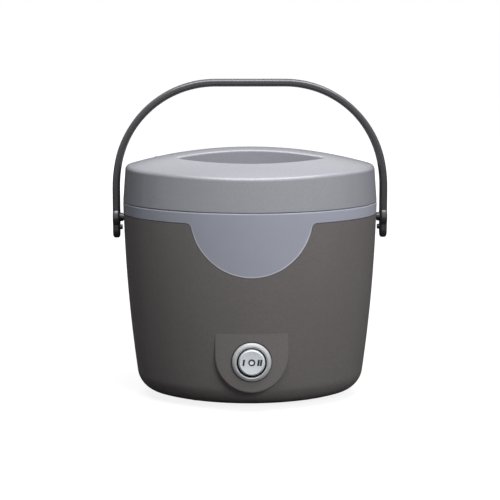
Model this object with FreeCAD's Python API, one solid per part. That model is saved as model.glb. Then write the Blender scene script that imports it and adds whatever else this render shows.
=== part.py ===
import FreeCAD, Part
import math
import os

# Portable food warmer: an oval bucket with a lift-off lid, a swinging bail and a round rocker switch.
# Millimetres, +Z up, the front faces -Y, the origin is on the table under the middle of the body.
# Offsets are measured square to the reference oval: outside it is positive, insets count inwards.

V = FreeCAD.Vector
X_AXIS = V(1, 0, 0)
Y_AXIS = V(0, 1, 0)
Z_AXIS = V(0, 0, 1)
ORIGIN = V(0, 0, 0)

# Clearances
FIT_GAP = 0.15
RUN_GAP = 0.05
SEAT_GAP = 0.2

# How far a cut runs past what it cuts, and how near counts as touching when edges are picked
OVERRUN = 6.0
TOUCHING = 0.1

# Reference oval
HALF_WIDTH = 75.0
HALF_DEPTH = 60.0
END_RADIUS_SHARE = 0.8
CORE_SHARE = 0.8
RIM_SHARE = 0.85

# Outer shell
FOOT_STAND = 2.0
SHELL_HEIGHT = 112.0
SHELL_WALL = 3.0
SHELL_CORNER = 14.0
WALL_TOP_OFFSET = 0.5
WALL_MID_INSET = 2.45
WALL_MID_RISE = 55.0
WALL_LOW_INSET = 7.1
WALL_LOW_RISE = 12.4

# Switch pad on the shell
PAD_HALF_WIDTH = 21.3
PAD_INSET = 3.4
PAD_ROOT = 6.0
PAD_DROP = 18.5
PAD_EDGE = 1.2

# Base plate, screws and feet
PLATE_INSET = 23.0
PLATE_THICK = 2.4
PLATE_RECESS = 0.2
LEDGE_WIDTH = 6.0
LEDGE_THICK = 3.0
SCREW_RADIUS = 1.5
SCREW_LENGTH = 9.0
SCREW_HEAD_RADIUS = 2.9
SCREW_HEAD_HEIGHT = 1.4
BOSS_WALL = 1.9
BOSS_HEIGHT = 8.0
FOOT_RADIUS = 5.0
FOOT_EDGE = 1.0
FOOT_POCKET = 0.8
FOOT_MARGIN = 6.5
FOOT_SPACING = 4.5
SLOT_COUNT = 5
SLOT_LENGTH = 24.0
SLOT_WIDTH = 2.4
SLOT_PITCH = 5.0

# Rim collar and its front tongue
COLLAR_PROUD = 0.1
COLLAR_SKIRT = 1.55
COLLAR_DECK = 1.8
COLLAR_DROP = 6.9
COLLAR_MOUTH_INSET = 8.6
COLLAR_EDGE = 0.9
COLLAR_BEAD = 0.4
TONGUE_RADIUS = 35.2
TONGUE_CENTRE_RISE = 4.7
TONGUE_CORNER = 3.0

# Heat well and food pot
WELL_SHEET = 0.8
WELL_DEPTH = 68.8
WELL_TOP_INSET = 9.9
WELL_TAPER = 3.0
WELL_CORNER = 10.0
WELL_FLANGE_INSET = 1.4
POT_WALL = 1.2
POT_GAP = 0.8
POT_FLOOR_GAP = 0.3
POT_RIM_INSET = 9.0
POT_SEAT_GAP = 0.1

# Insulation round the well
BLANKET_THICK = 4.0
BLANKET_GAP = 0.3
BLANKET_TOP_DROP = 14.0
BLANKET_BOTTOM_RISE = 10.5

# Heater under the well
HEATER_INSET = 22.0
HEATER_THICK = 3.5
ELEMENT_INSET = 33.0
ELEMENT_RADIUS = 3.0
ELEMENT_GAP = 14.0
COLD_END_RADIUS = 2.0
COLD_END_DROP = 8.0
STUD_SPACING = 44.0
STUD_RADIUS = 2.0
STUD_DROP = 9.0
NUT_ACROSS = 7.0
NUT_THICK = 3.2
NUT_SIDES = 6
TERMINAL_WIDTH = 9.0
TERMINAL_DEPTH = 6.0
TERMINAL_HEIGHT = 5.0

# Thermostat and thermal fuse
THERMOSTAT_RADIUS = 8.0
THERMOSTAT_HEIGHT = 8.5
THERMOSTAT_CAP_RADIUS = 6.5
THERMOSTAT_CAP_HEIGHT = 2.5
TAB_LENGTH = 5.0
TAB_WIDTH = 4.0
TAB_THICK = 0.8
TAB_RISE = 3.0
FUSE_RADIUS = 2.0
FUSE_LENGTH = 11.0
FUSE_WIRE_RADIUS = 0.5
FUSE_WIRE = 1.2
CLIP_SHEET = 0.6
CLIP_WIDTH = 5.0
CLIP_FOOT = 4.0

# Round rocker switch
SWITCH_HEIGHT = 30.2
SWITCH_HOLE_RADIUS = 10.0
SWITCH_DEPTH = 19.5
SWITCH_CAVITY = 5.5
SWITCH_CAVITY_RADIUS = 8.5
BEZEL_RADIUS = 11.7
BEZEL_BORE = 8.45
BEZEL_PROUD = 2.6
BEZEL_RIM = 0.5
BEZEL_CREST = 0.9
BEZEL_ROUND_SHARE = 0.72
BEZEL_GROOVE = 0.35
ROCKER_RADIUS = 7.7
ROCKER_PROUD = 2.9
ROCKER_BACK = 3.5
ROCKER_EDGE = 0.9
ROCKER_DISH = 0.4
TRUNNION_RADIUS = 1.2
TRUNNION_DEPTH = 1.6
TRUNNION_REACH = 0.7
BLADE_LENGTH = 7.0
BLADE_WIDTH = 4.0
BLADE_THICK = 0.8
BLADE_PITCH = 5.0
BLADE_COUNT = 3

# Power inlet at the rear
INLET_HEIGHT = 24.0
INLET_HALF_WIDTH = 14.0
INLET_HALF_HEIGHT = 9.0
INLET_FLANGE = 1.6
INLET_CORNER = 3.0
INLET_PAD_INSET = 4.2
INLET_PAD_MARGIN = 2.5
INLET_BODY_HALF_WIDTH = 10.5
INLET_BODY_HALF_HEIGHT = 7.0
INLET_BODY_DEPTH = 13.0
INLET_SOCKET_RADIUS = 4.8
INLET_SOCKET_DEPTH = 10.0
INLET_PIN_PITCH = 8.6
INLET_PIN_RADIUS = 1.2
INLET_PIN_LENGTH = 8.0
INLET_TAIL = 3.0

# Lid
LID_SEAM = 0.25
LID_OFFSET = 0.6
LID_DRAFT = 4.4
LID_HEIGHT = 31.3
LID_WALL = 2.2
LID_HEM = 0.2
LID_SHOULDER = 2.5
DOME_RADIUS_X = 265.0
DOME_RADIUS_Y = 149.0
DOME_SWEEP = 35.0
GRIP_BAR = 22.0
GRIP_HALF_LENGTH = 44.4
GRIP_TIP = 14.0
GRIP_NEAR = 38.9
GRIP_DEPTH = 15.5
GRIP_TIP_RADIUS = 2.0
GRIP_FLOOR_RADIUS = 4.0
GRIP_LIP = 1.2
LINER_SHEET = 1.8
LINER_RISE = 1.5
PLUG_INSET = 13.6
PLUG_DEPTH = 9.2
PLUG_CORNER = 3.0
SEAL_OUTER_INSET = 3.2
SEAL_INNER_INSET = 6.5
VENT_INSET = 16.6
VENT_ANGLE = 30.6
VENT_RADIUS = 3.2
VENT_BORE = 1.4
VENT_SINK = 0.5

# Bail handle and its pivots
PIVOT_LAND = 0.8
BAIL_GAP = 2.05
BAIL_THICK = 4.2
BAIL_WIDTH = 10.0
BAIL_EDGE = 1.5
BAIL_RISE = 82.0
ARCH_LOWER_RADIUS = 77.7
ARCH_UPPER_RADIUS = 58.7
ARCH_SPLIT = 11.5
HUB_RADIUS = 6.6
HUB_BOSS_RADIUS = 2.6
HUB_BOSS_GAP = 0.3
TAIL_DROP = 12.5
NUB_DROP = 6.0
NUB_RADIUS = 1.5
NUB_LENGTH = 1.5
PIN_RADIUS = 2.0
PIN_HEAD_RADIUS = 4.4
PIN_HEAD_SUNK = 0.9
PIN_HEAD_INSET = 0.1
PIN_HEAD_EDGE = 0.4
WASHER_RADIUS = 5.0
WASHER_THICK = 0.8
PIN_TAIL = 0.6

# Leads inside the base
LEAD_RADIUS = 1.1
LEAD_BEND = 4.0
LEAD_STUB = 5.0
BEND_ROOM_SHARE = 0.45
LIVE_RUN_RISE = 5.0
HIGH_RUN_RISE = 10.0
THERMOSTAT_RUN_RISE = 15.0
WARM_RUN_RISE = 19.0
NEUTRAL_SIDE = 4.5
NEUTRAL_STUB = 9.0

# Four-arc oval: two end arcs about (+-END_CENTRE, 0) and two side arcs about (0, -+SIDE_CENTRE)
END_RADIUS = END_RADIUS_SHARE * HALF_DEPTH
END_CENTRE = HALF_WIDTH - END_RADIUS
DEPTH_MORE = HALF_DEPTH - END_RADIUS
SIDE_CENTRE = (END_CENTRE ** 2 - DEPTH_MORE ** 2) / (2 * DEPTH_MORE)
SIDE_RADIUS = HALF_DEPTH + SIDE_CENTRE
END_SPAN = math.degrees(math.atan2(SIDE_CENTRE, END_CENTRE))
SIDE_SPAN = 90 - END_SPAN
CORE = -CORE_SHARE * END_RADIUS
OVAL_ARCS = [
    (V(END_CENTRE, 0, 0), END_RADIUS, 0, END_SPAN),
    (V(0, -SIDE_CENTRE, 0), SIDE_RADIUS, 90, SIDE_SPAN),
    (V(-END_CENTRE, 0, 0), END_RADIUS, 180, END_SPAN),
    (V(0, SIDE_CENTRE, 0), SIDE_RADIUS, 270, SIDE_SPAN),
]

# Levels
SHELL_TOP = FOOT_STAND + SHELL_HEIGHT
COLLAR_TOP = SHELL_TOP + WELL_SHEET + COLLAR_DECK
COLLAR_BOTTOM = COLLAR_TOP - COLLAR_DROP
WELL_FLOOR = SHELL_TOP - WELL_DEPTH
POT_FLOOR = WELL_FLOOR + WELL_SHEET + POT_FLOOR_GAP
HEATER_UNDER = WELL_FLOOR - HEATER_THICK
PLATE_UNDER = FOOT_STAND + PLATE_RECESS
LEDGE_UNDER = PLATE_UNDER + PLATE_THICK
LEDGE_TOP = LEDGE_UNDER + LEDGE_THICK
LID_BOTTOM = COLLAR_TOP + LID_SEAM
LID_TOP = LID_BOTTOM + LID_HEIGHT
LINER_UNDER = LID_BOTTOM + LINER_RISE
PIVOT_HEIGHT = COLLAR_BOTTOM - FIT_GAP - PIVOT_LAND - PIN_RADIUS - RUN_GAP


def fused(shapes):
    """One solid from several that touch or overlap."""
    return shapes[0].multiFuse(shapes[1:]).removeSplitter()


def both_sides(shape):
    """A shape and its mirror image across the plane between left and right."""
    return [shape, shape.mirror(ORIGIN, X_AXIS)]


def four_corners(shape):
    """A shape repeated left and right, front and rear."""
    return [copy for half in both_sides(shape) for copy in (half, half.mirror(ORIGIN, Y_AXIS))]


def polar(centre, radius, angle):
    """Point (offset, height) on a circle, with the angle in radians."""
    return (centre[0] + radius * math.cos(angle), centre[1] + radius * math.sin(angle))


def profile_face(path, base):
    """Face in the XZ plane from (offset, height) points; a pair of points is an arc via the first."""
    def place(point):
        return V(base + point[0], 0, point[1])

    here = place(path[0])
    edges = []
    for step in path[1:] + path[:1]:
        if isinstance(step[0], tuple):
            end = place(step[1])
            edges.append(Part.Arc(here, place(step[0]), end).toShape())
        else:
            end = place(step)
            edges.append(Part.makeLine(here, end))
        here = end
    return Part.Face(Part.Wire(edges))


def turned(path, centre, axis):
    """Solid of revolution of (radius, depth) points about an axis; depth runs along the axis."""
    face = profile_face(path, 0)
    solid = face.revolve(ORIGIN, Z_AXIS, 360)
    solid.Placement = FreeCAD.Placement(centre, FreeCAD.Rotation(Z_AXIS, axis))
    return solid


def oval_turn(path):
    """Ring with one profile carried round the four arcs of the oval."""
    sectors = []
    for centre, radius, middle, span in OVAL_ARCS:
        face = profile_face(path, radius)
        face.rotate(ORIGIN, Z_AXIS, middle - span)
        face.translate(centre)
        sectors.append(face.revolve(centre, Z_AXIS, 2 * span))
    return fused(sectors)


def oval_offset(point):
    """How far a point lies outside the reference oval in plan."""
    past_end = V(abs(point.x) - END_CENTRE, point.y, 0)
    if past_end.x > 0 and math.degrees(math.atan2(abs(past_end.y), past_end.x)) < END_SPAN:
        return past_end.Length - END_RADIUS
    return math.hypot(point.x, abs(point.y) + SIDE_CENTRE) - SIDE_RADIUS


def oval_wire(offset, height):
    """Outline of the oval at an offset."""
    edges = []
    for centre, radius, middle, span in OVAL_ARCS:
        angles = [math.radians(middle + turn) for turn in (-span, 0, span)]
        ends = [centre + V(math.cos(a), math.sin(a), 0) * (radius + offset) for a in angles]
        edges.append(Part.Arc(*ends).toShape())
    wire = Part.Wire(edges)
    wire.translate(Z_AXIS * height)
    return wire


def oval_prism(offset, bottom, top):
    """Upright oval block."""
    return Part.Face(oval_wire(offset, bottom)).extrude(Z_AXIS * (top - bottom))


def oval_band(outer, inner, bottom, top):
    """Upright oval ring."""
    return oval_prism(outer, bottom, top).cut(oval_prism(inner, bottom - OVERRUN, top + OVERRUN))


def oval_solid(path):
    """Oval body whose side follows a path that starts and ends on the core."""
    bottom = path[0][1]
    top = path[-1][1]
    return fused([oval_turn(path), oval_prism(CORE, bottom, top)])


def upright_box(half_x, half_z, near_y, far_y, height):
    """Box centred left to right, between two depths, about a height."""
    corner = V(-half_x, near_y, height - half_z)
    return Part.makeBox(2 * half_x, far_y - near_y, 2 * half_z, corner)


def rounded_bar(half_x, half_z, radius, near_y, far_y, height):
    """Bar along Y with a rounded rectangle for its section."""
    bar = upright_box(half_x, half_z, near_y, far_y, height)
    corners = [edge for edge in bar.Edges if edge.BoundBox.YLength > (far_y - near_y) / 2]
    return bar.makeFillet(radius, corners)


def tube(points, radius, bend):
    """Round lead along straight runs joined by tangent arcs."""
    pieces = []
    here = points[0]
    for before, corner, after in zip(points, points[1:], points[2:]):
        come = (corner - before).normalize()
        leave = (after - corner).normalize()
        turn = come.getAngle(leave)
        room = min((corner - before).Length, (after - corner).Length) * BEND_ROOM_SHARE
        bend_radius = min(bend, room / math.tan(turn / 2))
        trim = bend_radius * math.tan(turn / 2)
        start = corner - come * trim
        pieces.append(Part.makeCylinder(radius, (start - here).Length, here, come))
        axis = come.cross(leave).normalize()
        centre = start + axis.cross(come) * bend_radius
        section = Part.Face(Part.Wire(Part.makeCircle(radius, start, come)))
        pieces.append(section.revolve(centre, axis, math.degrees(turn)))
        here = corner + leave * trim
    last = points[-1]
    pieces.append(Part.makeCylinder(radius, (last - here).Length, here, last - here))
    return fused(pieces)


# The shell's wall is one wide arc through three heights, and a corner arc tangent to it and the underside
def circle_through(first, second, third):
    """Centre and radius of the circle through three (offset, height) points."""
    circle = Part.Circle(*[V(point[0], 0, point[1]) for point in (first, second, third)])
    return (circle.Center.x, circle.Center.z), circle.Radius


WALL_CENTRE, WALL_RADIUS = circle_through(
    (WALL_TOP_OFFSET, SHELL_TOP),
    (-WALL_MID_INSET, FOOT_STAND + WALL_MID_RISE),
    (-WALL_LOW_INSET, FOOT_STAND + WALL_LOW_RISE),
)
CORNER_HEIGHT = FOOT_STAND + SHELL_CORNER
CORNER_REACH = math.sqrt((WALL_RADIUS - SHELL_CORNER) ** 2 - (CORNER_HEIGHT - WALL_CENTRE[1]) ** 2)
CORNER_CENTRE = (WALL_CENTRE[0] + CORNER_REACH, CORNER_HEIGHT)
CORNER_END = math.atan2(CORNER_HEIGHT - WALL_CENTRE[1], CORNER_REACH)


def wall_offset(height, inset):
    """Offset of the shell's wall surface, or of a surface inside it, at a height."""
    return WALL_CENTRE[0] + math.sqrt((WALL_RADIUS - inset) ** 2 - (height - WALL_CENTRE[1]) ** 2)


def wall_run(bottom, top, inset):
    """Arc step up the wall between two heights."""
    middle = (bottom + top) / 2
    return ((wall_offset(middle, inset), middle), (wall_offset(top, inset), top))


def bucket(inset, top):
    """Solid inside the shell's surface, or inside a surface parallel to it."""
    under = FOOT_STAND + inset
    corner = SHELL_CORNER - inset
    corner_middle = polar(CORNER_CENTRE, corner, (CORNER_END - math.pi / 2) / 2)
    corner_top = polar(WALL_CENTRE, WALL_RADIUS - inset, CORNER_END)
    return oval_solid([
        (CORE, under),
        (CORNER_CENTRE[0], under),
        (corner_middle, corner_top),
        wall_run(corner_top[1], top, inset),
        (CORE, top),
    ])


def jacket(bottom, top, inset):
    """Upper part of such a solid, from a level up."""
    return oval_solid([
        (CORE, bottom),
        (wall_offset(bottom, inset), bottom),
        wall_run(bottom, top, inset),
        (CORE, top),
    ])


def vessel(top_inset, taper, bottom, top, corner, wall, above):
    """Tapered oval vessel with a rounded floor edge: its outside, or its inside at a wall's distance."""
    rise = top - bottom
    slope = taper / rise
    length = math.hypot(taper, rise)
    across = taper / length
    up = rise / length
    floor = bottom + wall
    radius = corner - wall
    low = -(top_inset + taper) - wall / up + slope * wall
    run = radius * (1 - across) / up
    centre = (low + run * across - radius * up, floor + radius)
    lift = math.atan2(-across, up)
    return oval_solid([
        (CORE, floor),
        (centre[0], floor),
        (polar(centre, radius, (lift - math.pi / 2) / 2), (low + run * across, floor + run * up)),
        (low + (above - floor) * slope, above),
        (CORE, above),
    ])


# Collar tongue: a round shield hanging from the collar's lower edge, with filleted inner corners
def tongue_block(grow):
    """Block that trims the collar, or the shell's recess when it is grown by a clearance."""
    edge = COLLAR_BOTTOM - grow
    radius = TONGUE_RADIUS + grow
    corner = TONGUE_CORNER - grow
    centre = V(0, 0, COLLAR_BOTTOM + TONGUE_CENTRE_RISE)
    fall = centre.z - edge + corner
    corner_centre = V(math.sqrt((radius + corner) ** 2 - fall ** 2), 0, edge - corner)
    to_centre = (centre - corner_centre).normalize()
    join = corner_centre + to_centre * corner
    halfway = corner_centre + (to_centre + Z_AXIS).normalize() * corner
    shoulder = corner_centre + Z_AXIS * corner
    high = V(shoulder.x, 0, COLLAR_TOP + OVERRUN)
    left = [V(-point.x, 0, point.z) for point in (high, shoulder, halfway, join)]
    outline = Part.Wire([
        Part.makeLine(left[0], left[1]),
        Part.Arc(left[1], left[2], left[3]).toShape(),
        Part.Arc(left[3], centre - Z_AXIS * radius, join).toShape(),
        Part.Arc(join, halfway, shoulder).toShape(),
        Part.makeLine(shoulder, high),
        Part.makeLine(high, left[0]),
    ])
    return Part.Face(outline).extrude(-Y_AXIS * (HALF_DEPTH + OVERRUN))


def above(height):
    """Block that holds everything over a level."""
    reach = HALF_WIDTH + OVERRUN
    return Part.makeBox(2 * reach, 2 * reach, LID_TOP, V(-reach, -reach, height))


def collar_zone(grow):
    """Region of the body's skin that belongs to the collar."""
    return fused([above(COLLAR_BOTTOM - grow), tongue_block(grow)])


TONGUE_LOW = COLLAR_BOTTOM + TONGUE_CENTRE_RISE - TONGUE_RADIUS - OVERRUN


def make_rim_collar():
    """Collar ring with its deck, mouth and front tongue."""
    skin = jacket(TONGUE_LOW, COLLAR_TOP, -COLLAR_PROUD)
    top_edges = [edge for edge in skin.Edges if edge.BoundBox.ZMin > COLLAR_TOP - TOUCHING and is_rim(edge)]
    skin = skin.makeFillet(COLLAR_EDGE, top_edges)
    hollow = jacket(TONGUE_LOW - OVERRUN, COLLAR_TOP - COLLAR_DECK, COLLAR_SKIRT - COLLAR_PROUD)
    mouth = oval_prism(-COLLAR_MOUTH_INSET, COLLAR_TOP - OVERRUN, COLLAR_TOP + OVERRUN)
    collar = skin.cut(hollow).cut(mouth).common(collar_zone(0))
    return collar.makeFillet(COLLAR_BEAD, [edge for edge in collar.Edges if on_collar_hem(edge)])


def on_collar_hem(edge):
    """True for the outer lower edge of the collar and its tongue."""
    middle = edge.valueAt((edge.FirstParameter + edge.LastParameter) / 2)
    skin = wall_offset(middle.z, -COLLAR_PROUD)
    return edge.BoundBox.ZMax < COLLAR_BOTTOM + TOUCHING and oval_offset(middle) > skin - COLLAR_SKIRT / 2


def is_rim(edge):
    """True for an edge that runs round the oval's outside."""
    middle = edge.valueAt((edge.FirstParameter + edge.LastParameter) / 2)
    return math.hypot(middle.x / HALF_WIDTH, middle.y / HALF_DEPTH) > RIM_SHARE


# Switch pad: the front bulges to an upright face, so its step grows towards the bottom
SIDE_FACE = SIDE_RADIUS - PAD_INSET
SEAT_Y = SIDE_CENTRE - math.sqrt(SIDE_FACE ** 2 - BEZEL_RADIUS ** 2)
PAD_BOTTOM = SWITCH_HEIGHT - PAD_DROP
PAD_TOP = PAD_BOTTOM + 2 * PAD_HALF_WIDTH


def make_pad():
    """Raised pad that the switch sits on, before it joins the shell."""
    centre = V(0, 0, PAD_BOTTOM + PAD_HALF_WIDTH)
    low = Part.makeCylinder(PAD_HALF_WIDTH, HALF_DEPTH, centre, -Y_AXIS)
    high = Part.makeBox(2 * PAD_HALF_WIDTH, HALF_DEPTH, PAD_TOP - centre.z,
                        V(-PAD_HALF_WIDTH, -HALF_DEPTH, centre.z))
    band = oval_band(-PAD_INSET, -PAD_INSET - PAD_ROOT, PAD_BOTTOM, PAD_TOP)
    pad = band.common(fused([low, high]))
    front = [edge for edge in pad.Edges if on_pad_face(edge)]
    return pad.makeFillet(PAD_EDGE, front)


def on_pad_face(edge):
    """True for the edges of the pad's front face, apart from the one hidden in the wall."""
    ends = [vertex.Point for vertex in edge.Vertexes]
    flush = all(abs(math.hypot(p.x, p.y - SIDE_CENTRE) - SIDE_FACE) < TOUCHING for p in ends)
    return flush and edge.BoundBox.ZMin < PAD_TOP - TOUCHING


# Power inlet: a flat pad at the rear takes the flange of a two-pin socket
INLET_SEAT_Y = HALF_DEPTH - INLET_PAD_INSET


def make_inlet_pad():
    """Flat pad at the rear that the inlet sits on, before it joins the shell."""
    half_width = INLET_HALF_WIDTH + INLET_PAD_MARGIN
    half_height = INLET_HALF_HEIGHT + INLET_PAD_MARGIN
    near = INLET_SEAT_Y - INLET_BODY_DEPTH
    corner = INLET_CORNER + INLET_PAD_MARGIN
    return rounded_bar(half_width, half_height, corner, near, INLET_SEAT_Y, INLET_HEIGHT)


def along(angle, centre, radius, height):
    """Point on a circle in plan, with the angle in degrees."""
    turn = math.radians(angle)
    return V(centre.x + radius * math.cos(turn), centre.y + radius * math.sin(turn), height)


SCREW_PLACE = along(END_SPAN, V(END_CENTRE, 0, 0), END_RADIUS - PLATE_INSET - LEDGE_WIDTH / 2, 0)
FOOT_RUN = SIDE_RADIUS - PLATE_INSET - FOOT_MARGIN
FOOT_TURN = math.degrees((SCREW_HEAD_RADIUS + FOOT_SPACING + FOOT_RADIUS) / FOOT_RUN)
FOOT_PLACE = along(END_SPAN + FOOT_TURN, V(0, -SIDE_CENTRE, 0), FOOT_RUN, 0)


def upright(radius, place, bottom, top):
    """Upright round bar at a place in plan."""
    return Part.makeCylinder(radius, top - bottom, V(place.x, place.y, bottom))


def make_outer_shell():
    """Bucket with a ledge for the base plate, screw bosses, pads and the recess under the collar."""
    hollow = bucket(SHELL_WALL, SHELL_TOP + OVERRUN)
    ledge = oval_prism(-PLATE_INSET + LEDGE_THICK, FOOT_STAND, LEDGE_TOP)
    boss = upright(SCREW_RADIUS + BOSS_WALL, SCREW_PLACE, LEDGE_UNDER, LEDGE_TOP + BOSS_HEIGHT)
    outside = fused([bucket(0, SHELL_TOP), make_pad(), make_inlet_pad()])
    shell = fused([outside.cut(hollow), ledge])
    shell = shell.cut(oval_prism(-PLATE_INSET - LEDGE_WIDTH, FOOT_STAND - OVERRUN, LEDGE_TOP + OVERRUN))
    shell = fused([shell] + four_corners(boss))
    shell = shell.cut(oval_prism(-PLATE_INSET, FOOT_STAND - OVERRUN, LEDGE_UNDER))
    recess = COLLAR_SKIRT - COLLAR_PROUD + RUN_GAP
    skin = jacket(TONGUE_LOW, SHELL_TOP + OVERRUN, -OVERRUN)
    skin = skin.cut(jacket(TONGUE_LOW - OVERRUN, SHELL_TOP + 2 * OVERRUN, recess))
    shell = shell.cut(skin.common(collar_zone(FIT_GAP)))
    cuts = four_corners(upright(SCREW_RADIUS, SCREW_PLACE, FOOT_STAND, LEDGE_TOP + BOSS_HEIGHT + OVERRUN))
    cuts.append(Part.makeCylinder(SWITCH_HOLE_RADIUS, HALF_DEPTH, V(0, 0, SWITCH_HEIGHT), -Y_AXIS))
    cuts.append(Part.makeCylinder(BEZEL_RADIUS + FIT_GAP, OVERRUN, V(0, SEAT_Y, SWITCH_HEIGHT), -Y_AXIS))
    cuts.append(upright_box(INLET_BODY_HALF_WIDTH + FIT_GAP, INLET_BODY_HALF_HEIGHT + FIT_GAP,
                            0, HALF_DEPTH, INLET_HEIGHT))
    cuts += both_sides(Part.makeCylinder(PIN_RADIUS + RUN_GAP, HALF_WIDTH + OVERRUN,
                                         V(0, 0, PIVOT_HEIGHT), X_AXIS))
    return shell.cut(Part.makeCompound(cuts))


def make_base_plate():
    """Plate that closes the base, with pockets for feet and screws and a row of slots."""
    plate = oval_prism(-PLATE_INSET - FIT_GAP, PLATE_UNDER, LEDGE_UNDER)
    cuts = four_corners(upright(SCREW_RADIUS + FIT_GAP, SCREW_PLACE, FOOT_STAND, LEDGE_TOP))
    head = upright(SCREW_HEAD_RADIUS + FIT_GAP, SCREW_PLACE, FOOT_STAND, PLATE_UNDER + SCREW_HEAD_HEIGHT)
    cuts += four_corners(head)
    cuts += four_corners(upright(FOOT_RADIUS + FIT_GAP, FOOT_PLACE, FOOT_STAND, PLATE_UNDER + FOOT_POCKET))
    for number in range(SLOT_COUNT):
        middle = (number - (SLOT_COUNT - 1) / 2) * SLOT_PITCH
        corner = V(-SLOT_LENGTH / 2, middle - SLOT_WIDTH / 2, FOOT_STAND)
        cuts.append(Part.makeBox(SLOT_LENGTH, SLOT_WIDTH, LEDGE_TOP, corner))
    return plate.cut(Part.makeCompound(cuts))


def make_base_screws():
    """Four screws up through the base plate into the bosses."""
    seat = PLATE_UNDER + SCREW_HEAD_HEIGHT
    head = upright(SCREW_HEAD_RADIUS, SCREW_PLACE, PLATE_UNDER, seat)
    shank = upright(SCREW_RADIUS - RUN_GAP, SCREW_PLACE, PLATE_UNDER, seat + SCREW_LENGTH)
    return Part.makeCompound(four_corners(fused([head, shank])))


def make_rubber_feet():
    """Four feet pressed into their pockets."""
    top = PLATE_UNDER + FOOT_POCKET
    foot = turned([
        (0, 0),
        (FOOT_RADIUS - FOOT_EDGE, 0),
        (FOOT_RADIUS, FOOT_EDGE),
        (FOOT_RADIUS, top),
        (0, top),
    ], V(FOOT_PLACE.x, FOOT_PLACE.y, 0), Z_AXIS)
    return Part.makeCompound(four_corners(foot))


# Heat well: a drawn sheet tub clamped between shell and collar, with two welded studs below
STUD_PLACE = V(STUD_SPACING / 2, 0, 0)


def make_heat_well():
    """Well with its flange and studs."""
    flange_top = SHELL_TOP + WELL_SHEET
    shape = (WELL_TOP_INSET, WELL_TAPER, WELL_FLOOR, SHELL_TOP, WELL_CORNER)
    outside = vessel(*shape, 0, flange_top)
    inside = vessel(*shape, WELL_SHEET, flange_top + OVERRUN)
    flange = oval_prism(-WELL_FLANGE_INSET, SHELL_TOP, flange_top)
    stud = upright(STUD_RADIUS, STUD_PLACE, WELL_FLOOR - STUD_DROP, WELL_FLOOR + WELL_SHEET / 2)
    return fused([fused([outside, flange]).cut(inside)] + both_sides(stud))


def make_food_pot():
    """Pot that hangs in the well by its rim."""
    rim_under = SHELL_TOP + WELL_SHEET + POT_SEAT_GAP
    rim_top = rim_under + POT_WALL
    top_inset = WELL_TOP_INSET + WELL_SHEET + POT_GAP
    shape = (top_inset, WELL_TAPER, POT_FLOOR, rim_top, WELL_CORNER)
    outside = vessel(*shape, 0, rim_top)
    inside = vessel(*shape, POT_WALL, rim_top + OVERRUN)
    rim = oval_prism(-POT_RIM_INSET, rim_under, rim_top)
    return fused([outside, rim]).cut(inside)


def make_insulation():
    """Blanket wrapped round the well."""
    top = SHELL_TOP - BLANKET_TOP_DROP
    bottom = WELL_FLOOR + BLANKET_BOTTOM_RISE
    slope = WELL_TAPER / WELL_DEPTH
    low = -WELL_TOP_INSET - (SHELL_TOP - bottom) * slope + BLANKET_GAP
    high = -WELL_TOP_INSET - (SHELL_TOP - top) * slope + BLANKET_GAP
    return oval_turn([
        (low, bottom),
        (low + BLANKET_THICK, bottom),
        (high + BLANKET_THICK, top),
        (high, top),
    ])


# Heater: a plate bolted under the well, with a sheathed element bent round the oval
def make_heater_plate():
    """Plate that spreads the heat under the well."""
    plate = oval_prism(-HEATER_INSET, HEATER_UNDER, WELL_FLOOR)
    hole = upright(STUD_RADIUS + FIT_GAP, STUD_PLACE, HEATER_UNDER - OVERRUN, WELL_FLOOR + OVERRUN)
    return plate.cut(Part.makeCompound(both_sides(hole)))


ELEMENT_HEIGHT = HEATER_UNDER - ELEMENT_RADIUS - RUN_GAP
ELEMENT_SIDE_RADIUS = SIDE_RADIUS - ELEMENT_INSET
COLD_END_TURN = math.degrees(math.asin(ELEMENT_GAP / ELEMENT_SIDE_RADIUS))
COLD_END_PLACE = along(90 - COLD_END_TURN, V(0, -SIDE_CENTRE, 0), ELEMENT_SIDE_RADIUS, 0)
COLD_END_BOTTOM = ELEMENT_HEIGHT - COLD_END_DROP


def make_heating_element():
    """Sheathed element, open at the rear, with two cold ends turned down."""
    spans = [(centre, radius, middle - span, 2 * span) for centre, radius, middle, span in OVAL_ARCS]
    rear_centre, rear_radius, rear_start, rear_sweep = spans.pop(1)
    rear_part = SIDE_SPAN - COLD_END_TURN
    spans.append((rear_centre, rear_radius, rear_start, rear_part))
    spans.append((rear_centre, rear_radius, rear_start + rear_sweep - rear_part, rear_part))
    pieces = []
    for centre, radius, start, sweep in spans:
        ring = V(radius - ELEMENT_INSET, 0, ELEMENT_HEIGHT)
        section = Part.Face(Part.Wire(Part.makeCircle(ELEMENT_RADIUS, ring, Y_AXIS)))
        section.rotate(ORIGIN, Z_AXIS, start)
        section.translate(centre)
        pieces.append(section.revolve(centre, Z_AXIS, sweep))
    elbow = Part.makeSphere(ELEMENT_RADIUS, V(COLD_END_PLACE.x, COLD_END_PLACE.y, ELEMENT_HEIGHT))
    cold_end = upright(COLD_END_RADIUS, COLD_END_PLACE, COLD_END_BOTTOM, ELEMENT_HEIGHT)
    return fused(pieces + both_sides(elbow) + both_sides(cold_end))


def make_element_terminal():
    """Terminal block on the left cold end."""
    block = Part.makeBox(TERMINAL_WIDTH, TERMINAL_DEPTH, TERMINAL_HEIGHT, V(
        -COLD_END_PLACE.x - TERMINAL_WIDTH / 2,
        COLD_END_PLACE.y - TERMINAL_DEPTH / 2,
        COLD_END_BOTTOM - TERMINAL_HEIGHT / 2,
    ))
    left = V(-COLD_END_PLACE.x, COLD_END_PLACE.y, 0)
    return block.cut(upright(COLD_END_RADIUS + RUN_GAP, left, COLD_END_BOTTOM, ELEMENT_HEIGHT))


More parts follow.
